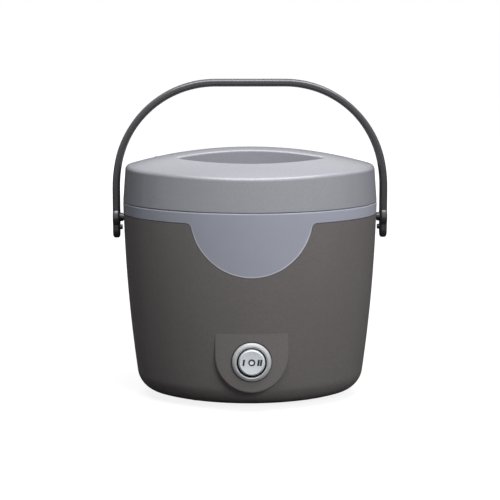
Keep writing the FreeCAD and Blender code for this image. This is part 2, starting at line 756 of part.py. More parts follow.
def make_clamp_nuts():
    """Nuts that clamp the heater plate on the studs."""
    corner = NUT_ACROSS / 2 / math.cos(math.pi / NUT_SIDES)
    points = [along(360 * n / NUT_SIDES, STUD_PLACE, corner, HEATER_UNDER) for n in range(NUT_SIDES + 1)]
    nut = Part.Face(Part.makePolygon(points)).extrude(-Z_AXIS * NUT_THICK)
    nut = nut.cut(upright(STUD_RADIUS + RUN_GAP, STUD_PLACE, HEATER_UNDER - 2 * NUT_THICK, HEATER_UNDER))
    return Part.makeCompound(both_sides(nut))


THERMOSTAT_UNDER = HEATER_UNDER - THERMOSTAT_HEIGHT
TAB_HEIGHT = THERMOSTAT_UNDER + TAB_RISE
TAB_END = THERMOSTAT_RADIUS + TAB_LENGTH


def make_thermostat():
    """Snap-disc thermostat against the heater plate, with a tab each side."""
    cap_under = HEATER_UNDER - THERMOSTAT_CAP_HEIGHT
    body = upright(THERMOSTAT_RADIUS, ORIGIN, THERMOSTAT_UNDER, cap_under)
    cap = upright(THERMOSTAT_CAP_RADIUS, ORIGIN, cap_under, HEATER_UNDER)
    corner = V(-TAB_END, -TAB_WIDTH / 2, TAB_HEIGHT - TAB_THICK / 2)
    tabs = Part.makeBox(2 * TAB_END, TAB_WIDTH, TAB_THICK, corner)
    return fused([body, cap, tabs])


FUSE_HEIGHT = HEATER_UNDER - FUSE_RADIUS - RUN_GAP
FUSE_RIGHT = COLD_END_PLACE.x - ELEMENT_RADIUS - FUSE_WIRE
FUSE_LEFT = FUSE_RIGHT - FUSE_LENGTH


def make_thermal_fuse():
    """Fuse between the cold ends, with a wire at each end."""
    start = V(FUSE_LEFT, COLD_END_PLACE.y, FUSE_HEIGHT)
    body = Part.makeCylinder(FUSE_RADIUS, FUSE_LENGTH, start, X_AXIS)
    wire_length = FUSE_LENGTH + 2 * FUSE_WIRE - RUN_GAP
    wire = Part.makeCylinder(FUSE_WIRE_RADIUS, wire_length, start - X_AXIS * FUSE_WIRE, X_AXIS)
    return fused([body, wire])


def make_fuse_clip():
    """Saddle that holds the fuse against the heater plate."""
    middle = (FUSE_LEFT + FUSE_RIGHT) / 2
    inner = FUSE_RADIUS + RUN_GAP
    outer = inner + CLIP_SHEET
    axis_point = V(middle - CLIP_WIDTH / 2, COLD_END_PLACE.y, FUSE_HEIGHT)
    ring = Part.makeCylinder(outer, CLIP_WIDTH, axis_point, X_AXIS)
    foot = Part.makeBox(CLIP_WIDTH, CLIP_FOOT + outer, CLIP_SHEET, V(
        axis_point.x, axis_point.y - CLIP_FOOT - outer, HEATER_UNDER - CLIP_SHEET))
    web = Part.makeBox(CLIP_WIDTH, 2 * outer, HEATER_UNDER - FUSE_HEIGHT, V(
        axis_point.x, axis_point.y - outer, FUSE_HEIGHT))
    clip = fused([ring, web, foot])
    slot = Part.makeBox(CLIP_WIDTH, 2 * inner, HEATER_UNDER - FUSE_HEIGHT + OVERRUN, V(
        axis_point.x, axis_point.y - inner, FUSE_HEIGHT))
    under_plate = above(HEATER_UNDER)
    return clip.cut(Part.makeCylinder(inner, CLIP_WIDTH, axis_point, X_AXIS)).cut(slot).cut(under_plate)


# Round rocker switch: depths run outwards from the seat on the pad
SWITCH_SEAT = V(0, SEAT_Y, SWITCH_HEIGHT)
SWITCH_BACK_Y = SEAT_Y + SWITCH_DEPTH


def switch_turned(path):
    """Piece of the switch turned about its axis."""
    return turned(path, SWITCH_SEAT, -Y_AXIS)


def make_switch_bezel():
    """Convex ring with a fine groove near its bore."""
    crest = BEZEL_BORE + BEZEL_CREST
    middle = ((crest + BEZEL_RADIUS) / 2, BEZEL_RIM + (BEZEL_PROUD - BEZEL_RIM) * BEZEL_ROUND_SHARE)
    groove = crest - BEZEL_CREST / 2
    return switch_turned([
        (BEZEL_BORE, 0),
        (BEZEL_RADIUS, 0),
        (BEZEL_RADIUS, BEZEL_RIM),
        (middle, (crest, BEZEL_PROUD)),
        (groove, BEZEL_PROUD - BEZEL_GROOVE),
        (BEZEL_BORE, BEZEL_PROUD),
    ])


def make_switch_body():
    """Round housing behind the pad, hollow in front for the rocker."""
    radius = SWITCH_HOLE_RADIUS - FIT_GAP
    body = switch_turned([
        (0, -SWITCH_DEPTH),
        (radius, -SWITCH_DEPTH),
        (radius, 0),
        (SWITCH_CAVITY_RADIUS, 0),
        (SWITCH_CAVITY_RADIUS, -SWITCH_CAVITY),
        (0, -SWITCH_CAVITY),
    ])
    return body.cut(trunnion(TRUNNION_RADIUS + RUN_GAP, SWITCH_HOLE_RADIUS))


def trunnion(radius, reach):
    """Upright pivot through the middle of the switch."""
    foot = V(0, SEAT_Y + TRUNNION_DEPTH, SWITCH_HEIGHT - reach)
    return Part.makeCylinder(radius, 2 * reach, foot)


def make_switch_rocker():
    """Dished button on two trunnions."""
    face_radius = ROCKER_RADIUS - ROCKER_EDGE
    dish_radius = chord_radius(face_radius, ROCKER_DISH)
    dish_centre = (0, ROCKER_PROUD - ROCKER_DISH + dish_radius)
    half_turn = math.asin(face_radius / dish_radius) / 2
    button = switch_turned([
        (0, -ROCKER_BACK),
        (ROCKER_RADIUS, -ROCKER_BACK),
        (ROCKER_RADIUS, ROCKER_PROUD - ROCKER_EDGE),
        (face_radius, ROCKER_PROUD),
        (polar(dish_centre, dish_radius, half_turn - math.pi / 2), (0, ROCKER_PROUD - ROCKER_DISH)),
    ])
    return fused([button, trunnion(TRUNNION_RADIUS, SWITCH_CAVITY_RADIUS + TRUNNION_REACH)])


def blade_x(number):
    """Place of a switch terminal, left to right."""
    return (number - (BLADE_COUNT - 1) / 2) * BLADE_PITCH


BLADE_END_Y = SWITCH_BACK_Y + BLADE_LENGTH


def make_switch_terminals():
    """Row of blades behind the switch."""
    blades = []
    for number in range(BLADE_COUNT):
        corner = V(blade_x(number) - BLADE_THICK / 2, SWITCH_BACK_Y, SWITCH_HEIGHT - BLADE_WIDTH / 2)
        blades.append(Part.makeBox(BLADE_THICK, BLADE_LENGTH, BLADE_WIDTH, corner))
    return Part.makeCompound(blades)


INLET_FACE_Y = INLET_SEAT_Y + INLET_FLANGE
INLET_BACK_Y = INLET_SEAT_Y - INLET_BODY_DEPTH
INLET_FLOOR_Y = INLET_FACE_Y - INLET_SOCKET_DEPTH
INLET_TAIL_Y = INLET_BACK_Y - INLET_TAIL


def inlet_rounds(radius, near, far):
    """Two round bars through the inlet, one at each pin."""
    place = V(INLET_PIN_PITCH / 2, near, INLET_HEIGHT)
    return both_sides(Part.makeCylinder(radius, far - near, place, Y_AXIS))


def make_power_inlet():
    """Flanged socket with an oblong mouth."""
    flange = rounded_bar(INLET_HALF_WIDTH, INLET_HALF_HEIGHT, INLET_CORNER,
                         INLET_SEAT_Y, INLET_FACE_Y, INLET_HEIGHT)
    body = upright_box(INLET_BODY_HALF_WIDTH, INLET_BODY_HALF_HEIGHT,
                       INLET_BACK_Y, INLET_SEAT_Y, INLET_HEIGHT)
    past_face = INLET_FACE_Y + OVERRUN
    socket = inlet_rounds(INLET_SOCKET_RADIUS, INLET_FLOOR_Y, past_face)
    socket.append(upright_box(INLET_PIN_PITCH / 2, INLET_SOCKET_RADIUS,
                              INLET_FLOOR_Y, past_face, INLET_HEIGHT))
    holes = inlet_rounds(INLET_PIN_RADIUS + RUN_GAP, INLET_BACK_Y - OVERRUN, INLET_FACE_Y)
    return fused([flange, body]).cut(fused(socket)).cut(Part.makeCompound(holes))


def make_inlet_pins():
    """Two round pins through the back of the socket."""
    return Part.makeCompound(inlet_rounds(INLET_PIN_RADIUS, INLET_TAIL_Y, INLET_FLOOR_Y + INLET_PIN_LENGTH))


# Lid: a drafted oval skirt under a dome that is curved differently across and along
LID_SLOPE = math.tan(math.radians(LID_DRAFT))


def lid_skirt(inset, bottom, top, hem):
    """Oval block inside the lid's side, or inside a surface parallel to it."""
    def side(height):
        return LID_OFFSET - inset - (height - LID_BOTTOM) * LID_SLOPE

    low = side(bottom)
    path = [(CORE, bottom), (low, bottom), (side(top), top), (CORE, top)]
    if hem:
        bend = (low - hem + hem * math.cos(math.pi / 4), bottom + hem - hem * math.sin(math.pi / 4))
        path[1:2] = [(low - hem, bottom), (bend, (side(bottom + hem), bottom + hem))]
    return oval_solid(path)


def dome(inset):
    """Everything under the lid's crown, or under a surface parallel to it."""
    radius = DOME_RADIUS_Y - inset
    crown = LID_TOP - inset
    reach = HALF_WIDTH + OVERRUN
    drop = radius - math.sqrt(radius ** 2 - reach ** 2)
    low = crown - LID_HEIGHT - drop
    left = V(0, -reach, crown - drop)
    right = V(0, reach, crown - drop)
    section = Part.Face(Part.Wire([
        Part.Arc(left, V(0, 0, crown), right).toShape(),
        Part.makeLine(right, V(0, reach, low)),
        Part.makeLine(V(0, reach, low), V(0, -reach, low)),
        Part.makeLine(V(0, -reach, low), left),
    ]))
    axis_point = V(0, 0, LID_TOP - DOME_RADIUS_X)
    section.rotate(axis_point, Y_AXIS, -DOME_SWEEP)
    return section.revolve(axis_point, Y_AXIS, 2 * DOME_SWEEP)


def chord_radius(half_chord, rise):
    """Radius of the arc over a chord."""
    return (half_chord ** 2 + rise ** 2) / (2 * rise)


GRIP_FLOOR = LID_TOP - GRIP_DEPTH
GRIP_BAR_FACE = GRIP_BAR / 2
BAR_RADIUS = chord_radius(GRIP_HALF_LENGTH, GRIP_TIP - GRIP_BAR_FACE)
NEAR_RADIUS = chord_radius(GRIP_HALF_LENGTH, GRIP_NEAR - GRIP_TIP)


def grip_lens(grow, floor):
    """Lens-shaped block in front of the grip bar: the part that two round bars share."""
    bar_arc = V(0, -GRIP_BAR_FACE - BAR_RADIUS, floor)
    near_arc = V(0, NEAR_RADIUS - GRIP_NEAR, floor)
    height = LID_TOP - floor + OVERRUN
    bars = [Part.makeCylinder(radius + grow, height, place)
            for radius, place in ((BAR_RADIUS, bar_arc), (NEAR_RADIUS, near_arc))]
    return bars[0].common(bars[1])


def grip_scoop():
    """Hollow of one scoop, with rounded tips and a rounded floor edge."""
    lens = grip_lens(0, GRIP_FLOOR)
    tips = [edge for edge in lens.Edges if edge.BoundBox.XLength + edge.BoundBox.YLength < TOUCHING]
    lens = lens.makeFillet(GRIP_TIP_RADIUS, tips)
    floor_edges = [edge for edge in lens.Edges if edge.BoundBox.ZMax < GRIP_FLOOR + TOUCHING]
    return lens.makeFillet(GRIP_FLOOR_RADIUS, floor_edges)


def front_and_rear(shape):
    """A shape and its mirror image across the plane between front and rear."""
    return [shape, shape.mirror(ORIGIN, Y_AXIS)]


def on_crown(edge):
    """True for an edge on the lid's outer crown."""
    return edge.BoundBox.ZMin > LID_TOP - LID_HEIGHT / 2 and is_rim(edge)


def on_mouth(edge):
    """True for an edge where a scoop breaks through the crown."""
    middle = edge.valueAt((edge.FirstParameter + edge.LastParameter) / 2)
    return abs(dome_height(middle.x, middle.y) - middle.z) < TOUCHING and not is_rim(edge)


def dome_height(x, y):
    """Height of the crown over a place in plan."""
    across = math.sqrt(DOME_RADIUS_Y ** 2 - y ** 2) - DOME_RADIUS_Y + DOME_RADIUS_X
    return LID_TOP - DOME_RADIUS_X + math.sqrt(across ** 2 - x ** 2)


def make_lid_cover():
    """Lid with its rounded shoulder, two finger scoops and the bar between them."""
    block = lid_skirt(0, LID_BOTTOM, LID_TOP + OVERRUN, LID_HEM).common(dome(0))
    block = block.makeFillet(LID_SHOULDER, [edge for edge in block.Edges if on_crown(edge)])
    inside = lid_skirt(LID_WALL, LID_BOTTOM - OVERRUN, LID_TOP + OVERRUN, 0).common(dome(LID_WALL))
    cups = front_and_rear(grip_lens(LID_WALL, GRIP_FLOOR - LID_WALL).common(block))
    cover = fused([block.cut(inside)] + cups)
    for scoop in front_and_rear(grip_scoop()):
        cover = cover.cut(scoop)
    cover = cover.makeFillet(GRIP_LIP, [edge for edge in cover.Edges if on_mouth(edge)])
    return cover.cut(upright(VENT_RADIUS + FIT_GAP, VENT_PLACE, LID_BOTTOM, LID_TOP + OVERRUN))


VENT_PLACE = along(180 - VENT_ANGLE, V(-END_CENTRE, 0, 0), END_RADIUS - VENT_INSET, 0)
VENT_TOP = dome_height(VENT_PLACE.x, VENT_PLACE.y) - VENT_SINK
PLUG_BOTTOM = LINER_UNDER - PLUG_DEPTH


def make_lid_liner():
    """Tray that closes the lid and plugs the pot."""
    top = LINER_UNDER + LINER_SHEET
    edge = LID_OFFSET - LID_WALL - (top - LID_BOTTOM) * LID_SLOPE - FIT_GAP
    flange = oval_prism(edge, LINER_UNDER, top)
    shape = (PLUG_INSET, 0, PLUG_BOTTOM, top, PLUG_CORNER)
    plug = vessel(*shape, 0, top)
    hollow = vessel(*shape, LINER_SHEET, top + OVERRUN)
    vent = upright(VENT_RADIUS + FIT_GAP, VENT_PLACE, PLUG_BOTTOM - OVERRUN, top)
    return fused([flange, plug]).cut(hollow).cut(vent)


def make_lid_seal():
    """Ring between the liner and the collar."""
    return oval_band(-SEAL_OUTER_INSET, -SEAL_INNER_INSET, COLLAR_TOP + SEAT_GAP, LINER_UNDER)


def make_steam_vent():
    """Tube from the plug up through the crown."""
    outside = upright(VENT_RADIUS, VENT_PLACE, PLUG_BOTTOM, VENT_TOP)
    return outside.cut(upright(VENT_BORE, VENT_PLACE, PLUG_BOTTOM - OVERRUN, VENT_TOP + OVERRUN))


# Bail: a strap bent in one plane, two straight arms and shoulders of two tangent arcs each
BAIL_INSIDE = HALF_WIDTH + WALL_TOP_OFFSET + BAIL_GAP
BAIL_OUTSIDE = BAIL_INSIDE + BAIL_THICK
BAIL_MIDDLE = BAIL_INSIDE + BAIL_THICK / 2
SPLIT = math.radians(ARCH_SPLIT)
ARCH_TOP = PIVOT_HEIGHT + BAIL_RISE - BAIL_THICK / 2
ARCH_START = ARCH_TOP - ARCH_LOWER_RADIUS * math.sin(SPLIT) - ARCH_UPPER_RADIUS * (1 - math.sin(SPLIT))
ARCH_FLAT = BAIL_MIDDLE - ARCH_LOWER_RADIUS * (1 - math.cos(SPLIT)) - ARCH_UPPER_RADIUS * math.cos(SPLIT)
TAIL_CENTRE = PIVOT_HEIGHT - TAIL_DROP + BAIL_WIDTH / 2
HUB_FACE = HALF_WIDTH + wall_offset(PIVOT_HEIGHT + HUB_BOSS_RADIUS, -COLLAR_PROUD) + HUB_BOSS_GAP


def strap_section(height):
    """Rounded section of the strap across the right arm."""
    corner = V(BAIL_INSIDE, -BAIL_WIDTH / 2, height)
    block = Part.makeBox(BAIL_THICK, BAIL_WIDTH, BAIL_THICK, corner)
    upright_edges = [edge for edge in block.Edges if edge.BoundBox.ZLength > BAIL_EDGE]
    block = block.makeFillet(BAIL_EDGE, upright_edges)
    return [face for face in block.Faces if face.BoundBox.ZMax < height + BAIL_EDGE][0]


def hub_disc(radius, height):
    """Round end of an arm, about an axis across the body."""
    disc = Part.makeCylinder(radius, BAIL_THICK, V(BAIL_INSIDE, 0, height), X_AXIS)
    rims = [edge for edge in disc.Edges if edge.BoundBox.XLength < BAIL_EDGE]
    return disc.makeFillet(BAIL_EDGE, rims)


def make_bail_handle():
    """Whole bail, from one half and its mirror image."""
    section = strap_section(TAIL_CENTRE)
    pieces = [section.extrude(Z_AXIS * (ARCH_START - TAIL_CENTRE))]
    section.translate(Z_AXIS * (ARCH_START - TAIL_CENTRE))
    lower_centre = V(BAIL_MIDDLE - ARCH_LOWER_RADIUS, 0, ARCH_START)
    upper_centre = V(ARCH_FLAT, 0, ARCH_TOP - ARCH_UPPER_RADIUS)
    for centre, angle in ((lower_centre, ARCH_SPLIT), (upper_centre, 90 - ARCH_SPLIT)):
        pieces.append(section.revolve(centre, -Y_AXIS, angle))
        section.rotate(centre, -Y_AXIS, angle)
    pieces.append(section.extrude(-X_AXIS * ARCH_FLAT))
    pieces.append(hub_disc(HUB_RADIUS, PIVOT_HEIGHT))
    pieces.append(hub_disc(BAIL_WIDTH / 2, TAIL_CENTRE))
    boss = Part.makeCylinder(HUB_BOSS_RADIUS, BAIL_MIDDLE - HUB_FACE, V(HUB_FACE, 0, PIVOT_HEIGHT), X_AXIS)
    pieces.append(boss)
    nub_root = V(BAIL_INSIDE + BAIL_THICK / 2, 0, PIVOT_HEIGHT - NUB_DROP)
    pieces.append(Part.makeCylinder(NUB_RADIUS, NUB_LENGTH + BAIL_THICK / 2, nub_root, -X_AXIS))
    half = fused(pieces)
    pivot = V(BAIL_INSIDE - OVERRUN, 0, PIVOT_HEIGHT)
    half = half.cut(Part.makeCylinder(PIN_RADIUS + RUN_GAP, BAIL_THICK + 2 * OVERRUN, pivot, X_AXIS))
    sink = V(BAIL_OUTSIDE - PIN_HEAD_SUNK - FIT_GAP, 0, PIVOT_HEIGHT)
    half = half.cut(Part.makeCylinder(PIN_HEAD_RADIUS + FIT_GAP, OVERRUN, sink, X_AXIS))
    return fused(both_sides(half))


# Pivot pins: headed pins through the arms and the shell, each held inside by a washer
INSIDE_RADIUS = END_RADIUS + wall_offset(PIVOT_HEIGHT - WASHER_RADIUS, SHELL_WALL)
WASHER_SEAT_X = END_CENTRE + math.sqrt(INSIDE_RADIUS ** 2 - WASHER_RADIUS ** 2)
WASHER_X = WASHER_SEAT_X - RUN_GAP - WASHER_THICK
PIN_END_X = WASHER_X - PIN_TAIL


def make_pivot_pin():
    """Headed pin of the right arm."""
    head_root = BAIL_OUTSIDE - PIN_HEAD_SUNK - PIN_END_X
    head_top = BAIL_OUTSIDE - PIN_HEAD_INSET - PIN_END_X
    return turned([
        (0, 0),
        (PIN_RADIUS, 0),
        (PIN_RADIUS, head_root),
        (PIN_HEAD_RADIUS, head_root),
        (PIN_HEAD_RADIUS, head_top - PIN_HEAD_EDGE),
        (PIN_HEAD_RADIUS - PIN_HEAD_EDGE, head_top),
        (0, head_top),
    ], V(PIN_END_X, 0, PIVOT_HEIGHT), X_AXIS)


def make_pivot_washers():
    """Push-on washers inside the shell."""
    washer = Part.makeCylinder(WASHER_RADIUS, WASHER_THICK, V(WASHER_X, 0, PIVOT_HEIGHT), X_AXIS)
    bore = Part.makeCylinder(PIN_RADIUS + RUN_GAP, OVERRUN, V(WASHER_X - PIN_TAIL, 0, PIVOT_HEIGHT), X_AXIS)
    return Part.makeCompound(both_sides(washer.cut(bore)))


# Leads: each leaves its terminal straight, drops to its own level, crosses and rises again
def make_leads():
    """Leads by their names."""
    floor = LEDGE_TOP
    terminal_low = COLD_END_BOTTOM - TERMINAL_HEIGHT / 2
    lead_row = TERMINAL_WIDTH / 4
    blades = [V(blade_x(number), BLADE_END_Y, SWITCH_HEIGHT) for number in range(BLADE_COUNT)]
    live_pin = V(-INLET_PIN_PITCH / 2, INLET_TAIL_Y, INLET_HEIGHT)
    neutral_pin = V(INLET_PIN_PITCH / 2, INLET_TAIL_Y, INLET_HEIGHT)
    fuse_end = V(FUSE_LEFT - FUSE_WIRE, COLD_END_PLACE.y, FUSE_HEIGHT)
    outer_joint = V(-COLD_END_PLACE.x - lead_row, COLD_END_PLACE.y, terminal_low)
    inner_joint = V(-COLD_END_PLACE.x + lead_row, COLD_END_PLACE.y, terminal_low)
    left_tab = V(-TAB_END, 0, TAB_HEIGHT)
    right_tab = V(TAB_END, 0, TAB_HEIGHT)

    def at(point, height):
        return V(point.x, point.y, floor + height)

    out_of_pin = -Y_AXIS * LEAD_STUB
    out_of_blade = Y_AXIS * LEAD_STUB
    routes = {}
    start = live_pin + out_of_pin
    end = blades[1] + out_of_blade
    low_run = [at(start, LIVE_RUN_RISE), at(end, LIVE_RUN_RISE)]
    routes["live_lead"] = [live_pin, start, *low_run, end, blades[1]]
    start = blades[0] + out_of_blade
    turn = at(inner_joint, HIGH_RUN_RISE)
    routes["high_lead"] = [blades[0], start, at(start, HIGH_RUN_RISE), turn, inner_joint]
    start = left_tab - X_AXIS * LEAD_STUB
    turn = at(outer_joint, THERMOSTAT_RUN_RISE)
    routes["thermostat_lead"] = [left_tab, start, at(start, THERMOSTAT_RUN_RISE), turn, outer_joint]
    start = blades[2] + out_of_blade
    end = right_tab + X_AXIS * LEAD_STUB
    high_run = [at(start, WARM_RUN_RISE), at(end, WARM_RUN_RISE)]
    routes["warm_lead"] = [blades[2], start, *high_run, end, right_tab]
    start = neutral_pin - Y_AXIS * NEUTRAL_STUB
    rise = V(fuse_end.x - NEUTRAL_SIDE, start.y, INLET_HEIGHT)
    end = V(rise.x, fuse_end.y, FUSE_HEIGHT)
    routes["neutral_lead"] = [neutral_pin, start, rise, end, fuse_end]
    return {name: tube(points, LEAD_RADIUS, LEAD_BEND) for name, points in routes.items()}


def make_parts():
    """Every piece by its name."""
    right_pin = make_pivot_pin()
    parts = {
        "outer_shell": make_outer_shell(),
        "rim_collar": make_rim_collar(),
        "heat_well": make_heat_well(),
        "food_pot": make_food_pot(),
        "insulation": make_insulation(),
        "heater_plate": make_heater_plate(),
        "heating_element": make_heating_element(),
        "element_terminal": make_element_terminal(),
        "clamp_nuts": make_clamp_nuts(),
        "thermostat": make_thermostat(),
        "thermal_fuse": make_thermal_fuse(),
        "fuse_clip": make_fuse_clip(),
        "base_plate": make_base_plate(),
        "base_screws": make_base_screws(),
        "rubber_feet": make_rubber_feet(),
        "switch_bezel": make_switch_bezel(),
        "switch_body": make_switch_body(),
        "switch_rocker": make_switch_rocker(),
        "switch_terminals": make_switch_terminals(),
        "power_inlet": make_power_inlet(),
        "inlet_pins": make_inlet_pins(),
        "lid_cover": make_lid_cover(),
        "lid_liner": make_lid_liner(),
        "lid_seal": make_lid_seal(),
        "steam_vent": make_steam_vent(),
        "bail_handle": make_bail_handle(),
        "pivot_pin_right": right_pin,
        "pivot_pin_left": right_pin.mirror(ORIGIN, X_AXIS),
        "pivot_washers": make_pivot_washers(),
    }
    parts.update(make_leads())
    return parts


os.makedirs("parts", exist_ok=True)
for part_name, part_shape in make_parts().items():
    part_shape.exportStep("parts/" + part_name + ".step")
    box = part_shape.BoundBox
    print(part_name, part_shape.isValid(), len(part_shape.Solids), round(part_shape.Volume),
          [round(side, 1) for side in (box.XMin, box.XMax, box.YMin, box.YMax, box.ZMin, box.ZMax)])
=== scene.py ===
"""Looks of a portable food warmer: finishes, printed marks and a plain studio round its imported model."""

import logging
import math
from dataclasses import dataclass, field
from enum import Enum
from typing import Any, Protocol

import bmesh
import bpy
from mathutils import Matrix, Vector
from mathutils.bvhtree import BVHTree


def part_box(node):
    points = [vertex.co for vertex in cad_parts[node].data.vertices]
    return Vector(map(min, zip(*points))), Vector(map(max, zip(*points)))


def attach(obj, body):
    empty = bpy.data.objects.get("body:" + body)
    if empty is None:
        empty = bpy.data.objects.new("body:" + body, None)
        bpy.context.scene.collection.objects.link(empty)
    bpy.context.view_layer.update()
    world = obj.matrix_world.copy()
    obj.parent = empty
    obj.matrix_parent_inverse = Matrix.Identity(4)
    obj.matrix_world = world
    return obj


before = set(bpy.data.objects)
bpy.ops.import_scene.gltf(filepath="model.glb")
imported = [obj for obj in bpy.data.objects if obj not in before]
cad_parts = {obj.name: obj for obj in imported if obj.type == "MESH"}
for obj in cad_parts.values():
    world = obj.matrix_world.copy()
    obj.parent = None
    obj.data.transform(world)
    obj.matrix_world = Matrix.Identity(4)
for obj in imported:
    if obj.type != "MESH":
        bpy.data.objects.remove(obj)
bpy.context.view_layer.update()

LOG = logging.getLogger("food_warmer")
MM = 0.001
# Place of the colour among the results of a Mix node.
COLOUR_RESULT = 2
# How slowly a metal's pattern changes along its lines, against across them.
ALONG_LINES = 0.03

Tree = bpy.types.NodeTree
Socket = bpy.types.NodeSocket
Colour = tuple[float, float, float, float]
Triple = tuple[float, float, float]
Rows = list[list[tuple[float, float]]]


class Grain(Enum):
    """Direction of a drawn or rolled metal's fine lines, as the scale of their pattern along each axis."""

    UPRIGHT = (1.0, 1.0, ALONG_LINES)
    ACROSS = (ALONG_LINES, 1.0, 1.0)


def linear(hex_colour: str) -> Colour:
    """Turns an sRGB hex colour into the linear colour that a shader takes.

    Args:
        hex_colour: Six hex digits after a hash sign.

    Returns:
        Red, green, blue and an alpha of one.
    """
    # The numbers are those of the sRGB curve.
    channels = [int(hex_colour[start:start + 2], 16) / 255 for start in (1, 3, 5)]
    red, green, blue = [c / 12.92 if c <= 0.04045 else ((c + 0.055) / 1.055) ** 2.4 for c in channels]
    return (red, green, blue, 1.0)


def per_metre(size_mm: float) -> float:
    """Returns the texture scale whose features are about this many millimetres wide."""
    return 1 / (size_mm * MM)


def add_node(tree: Tree, kind: str, settings: dict[str, Any] | None = None,
             links: dict[str, Socket] | None = None) -> bpy.types.Node:
    """Adds one node with its settings and links.

    Args:
        tree: Node tree that the node goes into.
        kind: Blender's type name of the node.
        settings: Values by socket identifier, socket name or property name.
        links: Output sockets by the identifier or name of the input that they feed.

    Returns:
        The new node.
    """
    node = tree.nodes.new(kind)
    for key, value in (settings or {}).items():
        sockets = [s for s in node.inputs if key in (s.identifier, s.name)]
        if sockets:
            sockets[0].default_value = value
        else:
            setattr(node, key, value)
    for key, source in (links or {}).items():
        target = next(s for s in node.inputs if key in (s.identifier, s.name))
        tree.links.new(source, target)
    return node


def blank_material(name: str) -> bpy.types.Material:
    """Makes a material with an empty node tree.

    Args:
        name: Name of the material.

    Returns:
        The new material.
    """
    material = bpy.data.materials.new(name)
    material.use_nodes = True
    material.node_tree.nodes.clear()
    return material


def shade(tree: Tree, settings: dict[str, Any], links: dict[str, Socket]) -> None:
    """Ends a material with one shader that holds the constant values and takes the rest from links.

    Args:
        tree: Node tree of the material.
        settings: Constant shader values by socket name.
        links: Output sockets by the name of the shader socket that they feed.
    """
    shader = add_node(tree, "ShaderNodeBsdfPrincipled", settings, links)
    add_node(tree, "ShaderNodeOutputMaterial", links={"Surface": shader.outputs["BSDF"]})


def reach_from_axis(tree: Tree, place: Socket, axis: Vector) -> Socket:
    """Measures how far a place is from a line that runs from front to back.

    Args:
        tree: Node tree of the material.
        place: Place on the piece.
        axis: Any point of the line.

    Returns:
        The distance, in metres.
    """
    upright = add_node(tree, "ShaderNodeVectorMath", {
        "operation": "MULTIPLY", "Vector_001": (1.0, 0.0, 1.0),
    }, {"Vector": place})
    reach = add_node(tree, "ShaderNodeVectorMath", {
        "operation": "DISTANCE", "Vector_001": (axis.x, 0.0, axis.z),
    }, {"Vector": upright.outputs["Vector"]})
    return reach.outputs["Value"]


def both_ramps(tree: Tree, ramps: list[tuple[Socket, float, float]]) -> Socket:
    """Multiplies two ramps, each of which climbs from nothing to one.

    Args:
        tree: Node tree of the material.
        ramps: For each ramp the measure that it follows, where it starts and where it is one, in metres.

    Returns:
        A factor that is one only where both ramps are.
    """
    first, second = [
        add_node(tree, "ShaderNodeMapRange", {"From Min": start, "From Max": end}, {"Value": measure})
        for measure, start, end in ramps
    ]
    product = add_node(tree, "ShaderNodeMath", {"operation": "MULTIPLY"}, {
        "Value": first.outputs["Result"], "Value_001": second.outputs["Result"],
    })
    return product.outputs["Value"]


class Tinted:
    """Finish whose colour a special kind of it may change from place to place."""

    def masked(self, tree: Tree, place: Socket, tint: Socket) -> Socket:
        """Returns the colour as it is."""
        return tint


class Finish(Protocol):
    """Surface finish that makes its own material."""

    @property
    def name(self) -> str:
        """Name of the finish's material."""

    def material(self) -> bpy.types.Material:
        """Returns the finish as a material."""


@dataclass(frozen=True)
class MouldedPlastic(Tinted):
    """Injection-moulded plastic: a fine eroded grain, and a faint cloudiness from the flow of the melt."""

    name: str
    colour: str
    cloud_colour: str
    roughness: float
    ior: float = 1.5
    # The tool's real grain is about 0.3 mm; it is drawn coarser, or the render would lose it.
    grain_mm: float = 0.9
    grain_depth_mm: float = 0.012
    grain_detail: float = 2.0
    grain_strength: float = 0.3
    cloud_mm: float = 26.0
    cloud_detail: float = 3.0
    roughness_spread: float = 0.03

    def material(self) -> bpy.types.Material:
        """Builds the finish from nodes.

        Returns:
            The finish as a material.
        """
        material = blank_material(self.name)
        tree = material.node_tree
        place = add_node(tree, "ShaderNodeTexCoord").outputs["Object"]
        cloud = add_node(tree, "ShaderNodeTexNoise", {
            "Scale": per_metre(self.cloud_mm), "Detail": self.cloud_detail,
        }, {"Vector": place})
        tint = add_node(tree, "ShaderNodeMix", {
            "data_type": "RGBA", "A_Color": linear(self.colour), "B_Color": linear(self.cloud_colour),
        }, {"Factor_Float": cloud.outputs["Fac"]})
        grain = add_node(tree, "ShaderNodeTexNoise", {
            "Scale": per_metre(self.grain_mm), "Detail": self.grain_detail,
        }, {"Vector": place})
        rough = add_node(tree, "ShaderNodeMapRange", {
            "To Min": self.roughness - self.roughness_spread,
            "To Max": self.roughness + self.roughness_spread,
        }, {"Value": grain.outputs["Fac"]})
        bump = add_node(tree, "ShaderNodeBump", {
            "Strength": self.grain_strength, "Distance": self.grain_depth_mm * MM,
        }, {"Height": grain.outputs["Fac"]})
        shade(tree, {"IOR": self.ior}, {
            "Base Color": self.masked(tree, place, tint.outputs[COLOUR_RESULT]),
            "Roughness": rough.outputs["Result"],
            "Normal": bump.outputs["Normal"],
        })
        return material


